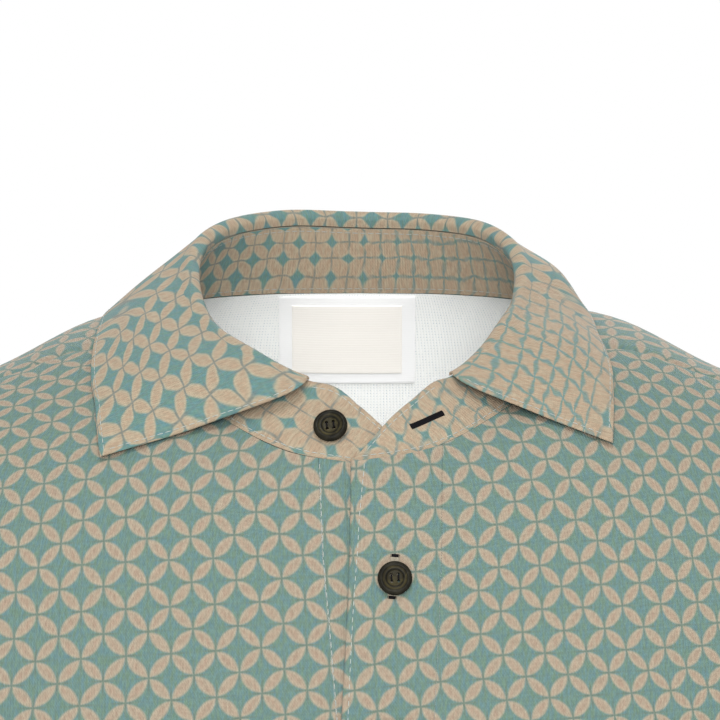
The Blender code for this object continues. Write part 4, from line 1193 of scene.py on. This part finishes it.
def collar_leaf():
    across = crowded(LEAF_SECTIONS, (0.0011, 0.0026, 0.0048))
    turns = LEAF[0][0] + (LEAF[-1][0] - LEAF[0][0]) * across
    fall = 3 + 2 * crowded(LEAF_FALL_ROWS, (0.004, 0.012))[1:-4]
    steps = np.concatenate([LEAF_ROLL_STEPS, fall, LEAF_EDGE_STEPS])
    middle = np.stack([leaf_points(turn, steps) for turn in turns], axis=1)
    normals, down = grid_normals(middle), run_length(middle)
    edge_gap = np.minimum(down[-1] - down, np.minimum(*along_rows(middle)))
    sink = fold_round(edge_gap, LEAF_WALL, LEAF_FOLD)
    groove = LEAF_GROOVE * np.exp(-((edge_gap - LEAF_GROOVE_AT) / LEAF_GROOVE_WIDTH) ** 2)
    outer = middle - normals * (sink + groove)[..., None]
    inner = middle - normals * (LEAF_WALL - sink)[..., None]
    flat = flat_grid(middle, 8)
    flat = flat - flat.mean(axis=(0, 1))
    web = smooth_step(flat[..., 0], *LEAF_WEB_FROM) * smooth_step(flat[..., 1], *LEAF_WEB_BELOW)
    petal = LEAF_PETAL[0] + LEAF_PETAL[1] * web
    piece = cloth_shell("collar_leaf_cloth", outer, inner, flat,
                        polynomial(flat, LEAF_DRIFT, LEAF_DRIFT_TERMS), COLLAR_FINISHES,
                        "collar_leaf", petal=(petal, petal), web=(web, web))
    return piece, flat, np.concatenate([outer, normals], axis=2)


leaf_piece, leaf_cut, leaf_outside = collar_leaf()

# %% [markdown]
# ## The buttons
# A four-hole shirt button is turned from a cast disc: a rounded rim, a shallow ring inside it and a
# sunken well with the thread holes. The section is spun round, and a Boolean cuts the holes.

# %% Buttons
BUTTON_HOLE_RADIUS, BUTTON_HOLE_SPREAD, BUTTON_CLEARANCE = 0.58 * MM, 1.7 * MM, 0.35 * MM
PLACKET_BUTTON_X, PLACKET_BUTTON_HEIGHTS = 13.2 * MM, (-101.7 * MM, -156.7 * MM)
STAND_BUTTON_ANGLE, STAND_BUTTON_UP = -172.2, 0.43
BUTTON_SECTION = (  # radius and height in millimetres
    (0.0, 0.1), (3.0, 0.05), (4.9, 0.0), (5.4, 0.08), (5.75, 0.35), (5.95, 0.8), (6.0, 1.3),
    (5.93, 1.8), (5.7, 2.2), (5.35, 2.48), (4.95, 2.6), (4.55, 2.58), (4.2, 2.45), (3.95, 2.3),
    (3.75, 2.24), (3.45, 2.24), (3.15, 2.2), (2.95, 2.08), (2.8, 1.93), (2.6, 1.84), (2.3, 1.81),
    (1.2, 1.8), (0.0, 1.8),
)
BUTTON_SIDES, DRILL_SIDES, DRILL_LENGTH, BUTTON_SHARP_ANGLE = 96, 24, 12 * MM, math.radians(38)
WELL_RADIUS, RING_RADII = 2.7 * MM, (3.3 * MM, 4.1 * MM)  # the paler well, and the ring round it


def button_mesh(name):
    bm = bmesh.new()
    rings = []
    for radius, height in BUTTON_SECTION:
        spin = [2 * math.pi * k / BUTTON_SIDES for k in range(BUTTON_SIDES if radius else 1)]
        rings.append([bm.verts.new((radius * MM * math.cos(a), radius * MM * math.sin(a),
                                    height * MM)) for a in spin])
    for low, high in zip(rings, rings[1:]):
        for k in range(BUTTON_SIDES):
            quad = (low[k % len(low)], low[(k + 1) % len(low)],
                    high[(k + 1) % len(high)], high[k % len(high)])
            bm.faces.new(list(dict.fromkeys(quad)))
    bmesh.ops.recalc_face_normals(bm, faces=bm.faces)
    mesh = bpy.data.meshes.new(name)
    bm.to_mesh(mesh)
    bm.free()
    return mesh


def drill(button):
    """Cuts the four thread holes with a Boolean, and keeps its result."""
    bm = bmesh.new()
    for turn in (math.radians(degrees) for degrees in (45, 135, 225, 315)):
        x, y = BUTTON_HOLE_SPREAD * math.cos(turn), BUTTON_HOLE_SPREAD * math.sin(turn)
        bmesh.ops.create_cone(bm, cap_ends=True, segments=DRILL_SIDES, radius1=BUTTON_HOLE_RADIUS,
                              radius2=BUTTON_HOLE_RADIUS, depth=DRILL_LENGTH,
                              matrix=Matrix.Translation((x, y, 0)))
    mesh = bpy.data.meshes.new(button.name + "_drill")
    bm.to_mesh(mesh)
    bm.free()
    cutter = add_object(mesh.name, mesh)
    cut = button.modifiers.new("holes", "BOOLEAN")
    cut.object, cut.solver = cutter, "EXACT"
    ready = button.evaluated_get(bpy.context.evaluated_depsgraph_get())
    drilled = bpy.data.meshes.new_from_object(ready)
    button.modifiers.clear()
    button.data = drilled
    bpy.data.objects.remove(cutter, do_unlink=True)


def place_button(name, node, point, normal, turn):
    button = add_object(name, button_mesh(name))
    drill(button)
    mesh = button.data
    reach = np.array([math.hypot(*face.center[:2]) for face in mesh.polygons])
    pale = (reach < WELL_RADIUS) | ((reach > RING_RADII[0]) & (reach < RING_RADII[1]))
    facing = Vector(normal).to_track_quat("Z", "Y").to_matrix().to_4x4()
    place = Matrix.Translation(Vector(point) + Vector(normal) * BUTTON_CLEARANCE) @ facing
    place = place @ Matrix.Rotation(math.radians(turn), 4, "Z")
    mesh.transform(place)
    mesh.polygons.foreach_set("use_smooth", np.ones(len(mesh.polygons), bool))
    mesh.set_sharp_from_angle(angle=BUTTON_SHARP_ANGLE)
    mesh.materials.clear()
    for finish in (button_resin, button_well_resin):
        mesh.materials.append(finish)
    mesh.polygons.foreach_set("material_index", pale.astype(np.int32))
    worn(button, node)
    return place


button_places = {}
for name, node, height, turn in (
        ("placket_button_upper", "button_placket_upper", PLACKET_BUTTON_HEIGHTS[0], 4),
        ("placket_button_lower", "button_placket_lower", PLACKET_BUTTON_HEIGHTS[1], -7)):
    level = level_at("front_z", height)
    angle = angle_at_x(PLACKET_BUTTON_X, level)
    button_places[name] = place_button(name, node, on_torso(angle, level, PLACKET_RISE),
                                       torso_normal(angle, level), turn)
stand_patch = stand_points(*np.meshgrid(STAND_BUTTON_ANGLE + np.array([1, 0, -1]),
                                        STAND_BUTTON_UP + np.array([-0.1, 0, 0.1])))
button_places["stand_button"] = place_button("stand_button", "button_stand", stand_patch[1, 1],
                                             grid_normals(stand_patch)[1, 1], 9)


# %% [markdown]
# ## Sewing
# A lockstitch shows as a row of short thread bars, each a little sunk at its ends. A row follows a
# line drawn at a set distance inside an edge of a panel's face. Such a line holds a point and a
# normal at every place. All rows of one kind are joined into one piece.

# %% Rows of stitches
STITCH_LENGTH, STITCH_PITCH, STITCH_WIDTH, STITCH_HEIGHT = 2.2 * MM, 2.9 * MM, 0.31 * MM, 0.2 * MM
# places along a bar of thread, with its size and its rise there
STITCH_RINGS = ((0.0, 0.4, -0.1), (0.15, 0.85, 0.25), (0.5, 1.0, 0.4), (0.85, 0.85, 0.25),
                (1.0, 0.4, -0.1))
STITCH_SIDES = 6


def thread_bars(name, starts, ends, normals, finish, slot, width=STITCH_WIDTH,
                height=STITCH_HEIGHT):
    """One piece of many short bars of thread."""
    side = unit(np.cross(ends - starts, normals))
    turn = 2 * np.pi * np.arange(STITCH_SIDES) / STITCH_SIDES
    rings = []
    for along, size, rise in STITCH_RINGS:
        centre = starts + (ends - starts) * along + normals * height * rise
        across, up = width / 2 * size * np.cos(turn), height / 2 * size * np.sin(turn)
        rings.append(centre[:, None] + side[:, None] * across[:, None]
                     + normals[:, None] * up[:, None])
    points = np.stack(rings, axis=1)
    number = np.arange(points[..., 0].size).reshape(points.shape[:3])
    low, high = number[:, :-1], number[:, 1:]
    walls = np.stack([low, np.roll(low, -1, axis=2), np.roll(high, -1, axis=2), high], axis=-1)
    caps = np.concatenate([number[:, 0, ::-1], number[:, -1]])
    mesh = bpy.data.meshes.new(name)
    faces = walls.reshape(-1, 4).tolist() + caps.tolist()
    mesh.from_pydata(points.reshape(-1, 3).tolist(), [], faces)
    mesh.polygons.foreach_set("use_smooth", np.ones(len(mesh.polygons), bool))
    mesh.materials.append(finish)
    mesh.update()
    worn(add_object(name, mesh))


def along_line(line, where):
    """Points and normals at distances along a line."""
    reach = run_length(line[:, :3])
    return np.stack([np.interp(where, reach, line[:, k]) for k in range(6)], axis=1)


def stitch_row(line):
    """Starts, ends and normals of the stitches along a line."""
    begin = np.arange(0, run_length(line[:, :3])[-1] - STITCH_LENGTH, STITCH_PITCH)
    first, last = along_line(line, begin), along_line(line, begin + STITCH_LENGTH)
    return first[:, :3], last[:, :3], first[:, 3:]


def sew(name, lines, slot):
    rows = zip(*(stitch_row(line) for line in lines))
    thread_bars(name, *(np.concatenate(part) for part in rows), pale_thread, slot)


def inset_line(face, reach, inset):
    """The line on a face where the reach measured along each row first passes the inset."""
    rows = np.arange(len(face))
    past = np.maximum(np.argmax(reach > inset, axis=1), 1)
    low, high = reach[rows, past - 1], reach[rows, past]
    t = np.clip((inset - low) / np.maximum(high - low, 1e-9), 0, 1)[:, None]
    line = face[rows, past - 1] * (1 - t) + face[rows, past] * t
    return line[reach.max(axis=1) > 2 * inset]


def facing_out(points, normals, centre):
    """Points with their normals turned away from a centre."""
    out = np.sign(((points - centre) * normals).sum(axis=-1, keepdims=True))
    return np.concatenate([points, normals * out], axis=-1)


# %% Stitch lines
COLLAR_INSET, STAND_TOP_INSET, STAND_SEAM_INSET = 2.0 * MM, 2.6 * MM, 1.7 * MM
STAND_OUTER_ENDS, LEAF_CREST_REACH = 40 * MM, 9 * MM
PLACKET_STITCH_HEIGHTS = (-222, -149, -129.5, -112.7, -100, -91, -81.8, -70.8, -63)
PLACKET_STITCH_X = (-3.4, -2.93, -2.07, -1.2, -0.31, 0.41, 0.86, 1.89, 2.7)
SEAM_STITCH_IN, STITCH_SINK, SEAM_STITCH_SINK = 0.35 * MM, 0.1 * MM, 0.12 * MM
HEM_STITCH_LEVEL, CUFF_STITCH_ROW, LEAF_SIDE_LEFT_OUT = 0.142, -8, 4
PLACKET_STITCH_LEVELS = np.linspace(PLACKET_LEVEL + 0.05, NECK_LEVEL - 0.03, 160)


def face_reach(face):
    """Distances on a face from its first row, last row, first column and last column."""
    down = run_length(face[..., :3])
    return down, down[-1] - down, *along_rows(face[..., :3])


def top_line(face, last, part, inset):
    """The line at an inset below the last row of some of a face's columns."""
    return inset_line(face.swapaxes(0, 1)[part, ::-1], last.T[part, ::-1], inset)


def leaf_lines():
    first, last, left, right = face_reach(leaf_outside)
    keep = first[:, 0] > LEAF_CREST_REACH
    face, between = leaf_outside[keep], (left[-1] > COLLAR_INSET) & (right[-1] > COLLAR_INSET)
    return [inset_line(face, left[keep], COLLAR_INSET)[:-LEAF_SIDE_LEFT_OUT],
            inset_line(face[:, ::-1], right[keep][:, ::-1], COLLAR_INSET)[:-LEAF_SIDE_LEFT_OUT],
            top_line(leaf_outside, last, between, COLLAR_INSET)]


def stand_lines():
    first, last, left, right = face_reach(stand_outside)
    lines = [top_line(stand_outside, last, end[0] < STAND_OUTER_ENDS, STAND_TOP_INSET)
             for end in (left, right)]
    lines.append(inset_line(stand_outside.swapaxes(0, 1), first.T, STAND_SEAM_INSET))
    first, last, left, _ = face_reach(stand_inside)
    return lines + [top_line(stand_inside, last, left[0] > 0, STAND_SEAM_INSET),
                    inset_line(stand_inside.swapaxes(0, 1), first.T, STAND_SEAM_INSET)]


def placket_stitch_lines():
    levels = PLACKET_STITCH_LEVELS
    edge = np.interp(ring_column("front_z", levels), PLACKET_STITCH_HEIGHTS, PLACKET_STITCH_X) * MM
    lines = []
    for x, lift in ((edge, PLACKET_RISE - STITCH_SINK),
                    (placket_lines(levels)[0] + SEAM_STITCH_IN, -UNDER_DROP - SEAM_STITCH_SINK)):
        place = angle_at_x(x, levels), levels
        lines.append(np.concatenate([on_torso(*place, lift), torso_normal(*place)], axis=-1))
    return lines


def hem_lines():
    row = int(np.argmin(np.abs(LEVELS - HEM_STITCH_LEVEL)))
    lines = [facing_out(face, grid_normals(face), 0.0)[row] for face in (front_face, back_face)]
    for face, side in zip(sleeve_faces, (1, -1)):
        centre = CUFF_CENTRE * np.array([side, 1, 1])
        loop = facing_out(face, grid_normals(face), centre)[CUFF_STITCH_ROW]
        lines.append(np.concatenate([loop, loop[:1]]))
    return lines


sew("collar_topstitching", leaf_lines() + stand_lines(), "printed_collar_knit")
sew("placket_topstitching", placket_stitch_lines(), "printed_knit")
sew("hem_and_cuff_stitching", hem_lines(), "printed_knit")

# %% [markdown]
# ## Buttonholes and button thread
# A buttonhole is two rows of tight satin bars with a slit between them and a black tack across
# each end. The one on the stand is empty and black. On the placket the rows are tan like the print,
# and the tacks show above and below the buttons.

# %% Buttonholes
BAR_PITCH, BAR_WIDTH, BAR_HEIGHT, SLIT_OVERLAP = 0.36 * MM, 0.46 * MM, 0.24 * MM, 0.2 * MM
STAND_HOLE_ENDS, STAND_HOLE_WIDTH = ((163.9, 0.52), (152.8, 0.457)), 2.3 * MM  # turn and height
PLACKET_HOLE_ENDS = ((8.4 * MM, -6.8 * MM), (6.8 * MM, -8.4 * MM))  # above and below each button
PLACKET_HOLE_LEAN, PLACKET_HOLE_SHIFT, PLACKET_HOLE_WIDTH = 0.6 * MM, 0.4 * MM, 3.3 * MM
TACK_BARS, TACK_RISE, HOLE_STEPS, STAND_PATCH = 3, 0.2, 24, (-0.04, 0, 0.04)


def hole_bars(line, width):
    """Starts, ends and normals of the bars beside a slit, and of those that tack its ends."""
    reach = run_length(line[:, :3])[-1]
    at = along_line(line, np.arange(BAR_WIDTH / 2, reach - BAR_WIDTH / 2, BAR_PITCH))
    points, normals = at[:, :3], at[:, 3:]
    side = unit(np.cross(np.gradient(points, axis=0), normals))
    bars = [(points - side * sign * SLIT_OVERLAP, points + side * sign * width / 2, normals)
            for sign in (-1, 1)]
    raised, half = points + normals * BAR_HEIGHT * TACK_RISE, side * width / 2
    tacks = [(raised[end] - half[end], raised[end] + half[end], normals[end])
             for end in (slice(0, TACK_BARS), slice(-TACK_BARS, None))]
    return [[np.concatenate(part) for part in zip(*rows)] for rows in (bars, tacks)]


def stand_hole_line():
    turn, up = np.linspace(*STAND_HOLE_ENDS, HOLE_STEPS).T
    patch = np.stack([stand_points(turn, up + step) for step in STAND_PATCH])
    points, axis = patch[1], patch[1] * np.array([0, 0, 1])
    return facing_out(points, grid_normals(patch)[1], axis)


def placket_hole_line(row):
    heights = PLACKET_BUTTON_HEIGHTS[row] + np.linspace(*PLACKET_HOLE_ENDS[row], HOLE_STEPS)
    levels = level_at("front_z", heights)
    lean = PLACKET_HOLE_LEAN * np.linspace(1, -1, HOLE_STEPS)
    angles = angle_at_x(PLACKET_BUTTON_X - PLACKET_HOLE_SHIFT + lean, levels)
    return np.concatenate([on_torso(angles, levels, PLACKET_RISE), torso_normal(angles, levels)],
                          axis=-1)


for name, slot, line, width, side_thread in (
        ("stand_buttonhole", "printed_collar_knit", stand_hole_line(), STAND_HOLE_WIDTH,
         black_thread),
        ("placket_buttonhole_upper", "printed_knit", placket_hole_line(0), PLACKET_HOLE_WIDTH,
         tan_thread),
        ("placket_buttonhole_lower", "printed_knit", placket_hole_line(1), PLACKET_HOLE_WIDTH,
         tan_thread)):
    sides, tacks = hole_bars(line, width)
    thread_bars(name + "_sides", *sides, side_thread, slot, BAR_WIDTH, BAR_HEIGHT)
    thread_bars(name + "_tacks", *tacks, black_thread, slot, BAR_WIDTH, BAR_HEIGHT)


# %% Button thread
BUTTON_THREAD_WIDTH, BUTTON_THREAD_RISE = 0.6 * MM, 2.0 * MM
HOLE_OFFSETS = np.array((-1, 1)) * BUTTON_HOLE_SPREAD / math.sqrt(2)

for name, place in button_places.items():
    matrix = np.array(place)
    local = np.array([[(x, y, BUTTON_THREAD_RISE) for y in HOLE_OFFSETS] for x in HOLE_OFFSETS])
    ends = local @ matrix[:3, :3].T + matrix[:3, 3]
    thread_bars(name + "_thread", ends[:, 0], ends[:, 1], np.tile(matrix[:3, 2], (2, 1)),
                black_thread, "button_resin", BUTTON_THREAD_WIDTH, BUTTON_THREAD_WIDTH)


# %% [markdown]
# ## The neck label
# A white half patch is sewn inside the back neck, and a smooth woven label on it, left bare.

# %% Label and patch
LABEL_CENTRE, PATCH_WALL, LABEL_WALL = -3.8 * MM, 0.35 * MM, 0.3 * MM
LABEL_FOLD, LABEL_GAP, LABEL_ROWS, LABEL_COLUMNS = 0.3 * MM, 0.1 * MM, 20, 36
# width, and the heights of the top and the bottom edge
PATCH_SIZE, LABEL_SIZE = (52 * MM, -0.8 * MM, -34 * MM), (42 * MM, -4.2 * MM, -30 * MM)
PATCH_DEPTH = BODY_WALL + SEAM_GAP
LABEL_DEPTH = PATCH_DEPTH + PATCH_WALL + LABEL_GAP


def label_wall(name, node, size, depth, thickness, finish):
    width, top, bottom = size
    rows, columns = crowded(LABEL_ROWS, (0.01, 0.025)), crowded(LABEL_COLUMNS, (0.008, 0.02))
    levels = level_rows(level_at("back_z", bottom + (top - bottom) * rows), len(columns))
    angles = 180 - angle_at_x(LABEL_CENTRE + width * (0.5 - columns), levels)
    up, across = np.meshgrid(rows * (top - bottom), columns * width, indexing="ij")
    edge_gap = np.minimum(np.minimum(up, top - bottom - up), np.minimum(across, width - across))
    sink = fold_round(edge_gap, thickness, LABEL_FOLD)
    outer = on_torso(angles, levels, -depth - sink)
    inner = on_torso(angles, levels, -depth - thickness + sink)
    flat = np.stack([across, up], axis=-1)
    return cloth_shell(name, outer, inner, flat, flat / LATTICE, (finish,) * 3, node)


patch_piece = label_wall("half_patch", "label_backing", PATCH_SIZE, PATCH_DEPTH, PATCH_WALL,
                         patch_cloth)
label_piece = label_wall("neck_label", "label", LABEL_SIZE, LABEL_DEPTH, LABEL_WALL, label_satin)


# %% [markdown]


# %% [markdown]
# ## Floor, light and camera
# The photograph has even studio light from all round and a white ground. A bright even world gives
# that. Two soft lamps in front, one low and one high, give the cloth a little shape, and one behind
# lights the back. The floor is a plain pale sheet well below the hem. The camera stands level, 1.8
# metres in front, with a long lens.

# %% Floor, light and camera
FLOOR_SIZE, FLOOR_DROP = 12, 0.12
LAMPS = (  # name, place, what it is aimed at, size in metres and power in watts
    ("front", (0, -2.6, 0.45), (0, 0, -0.1), 1.3, 56),
    ("high", (-0.05, -1.6, 1.95), (0, 0, -0.1), 0.9, 38),
    ("behind", (0.3, 2.3, 1.2), (0, 0, -0.2), 1.5, 45),
)

scene = bpy.context.scene
scene.view_settings.view_transform = "Standard"
scene.world = bpy.data.worlds.new("even_studio")
scene.world.use_nodes = True
set_node(scene.world.node_tree.nodes["Background"], {"Color": (1, 1, 1, 1), "Strength": 1.0})

bpy.ops.mesh.primitive_plane_add(size=FLOOR_SIZE, location=(0, 0, cad_box[0][2] - FLOOR_DROP))
floor = bpy.context.object
floor.name = "floor"
floor_finish, _, floor_shader = new_material("pale_studio_floor")
set_node(floor_shader, {"Base Color": linear("#F2F2F0"), "Roughness": 0.9})
floor.data.materials.append(floor_finish)

for name, place, target, size, power in LAMPS:
    lamp = bpy.data.lights.new(name, "AREA")
    lamp.shape, lamp.size, lamp.energy = "DISK", size, power
    holder = add_object(name, lamp)
    holder.location = place
    holder.rotation_euler = (Vector(target) - Vector(place)).to_track_quat("-Z", "Y").to_euler()

camera = add_object("camera", bpy.data.cameras.new("camera"))
camera.location, camera.rotation_euler = (0.0012, -1.8, -0.0257), (math.pi / 2, 0, 0)
camera.data.sensor_width, camera.data.lens = 36, 246.25
scene.camera = camera
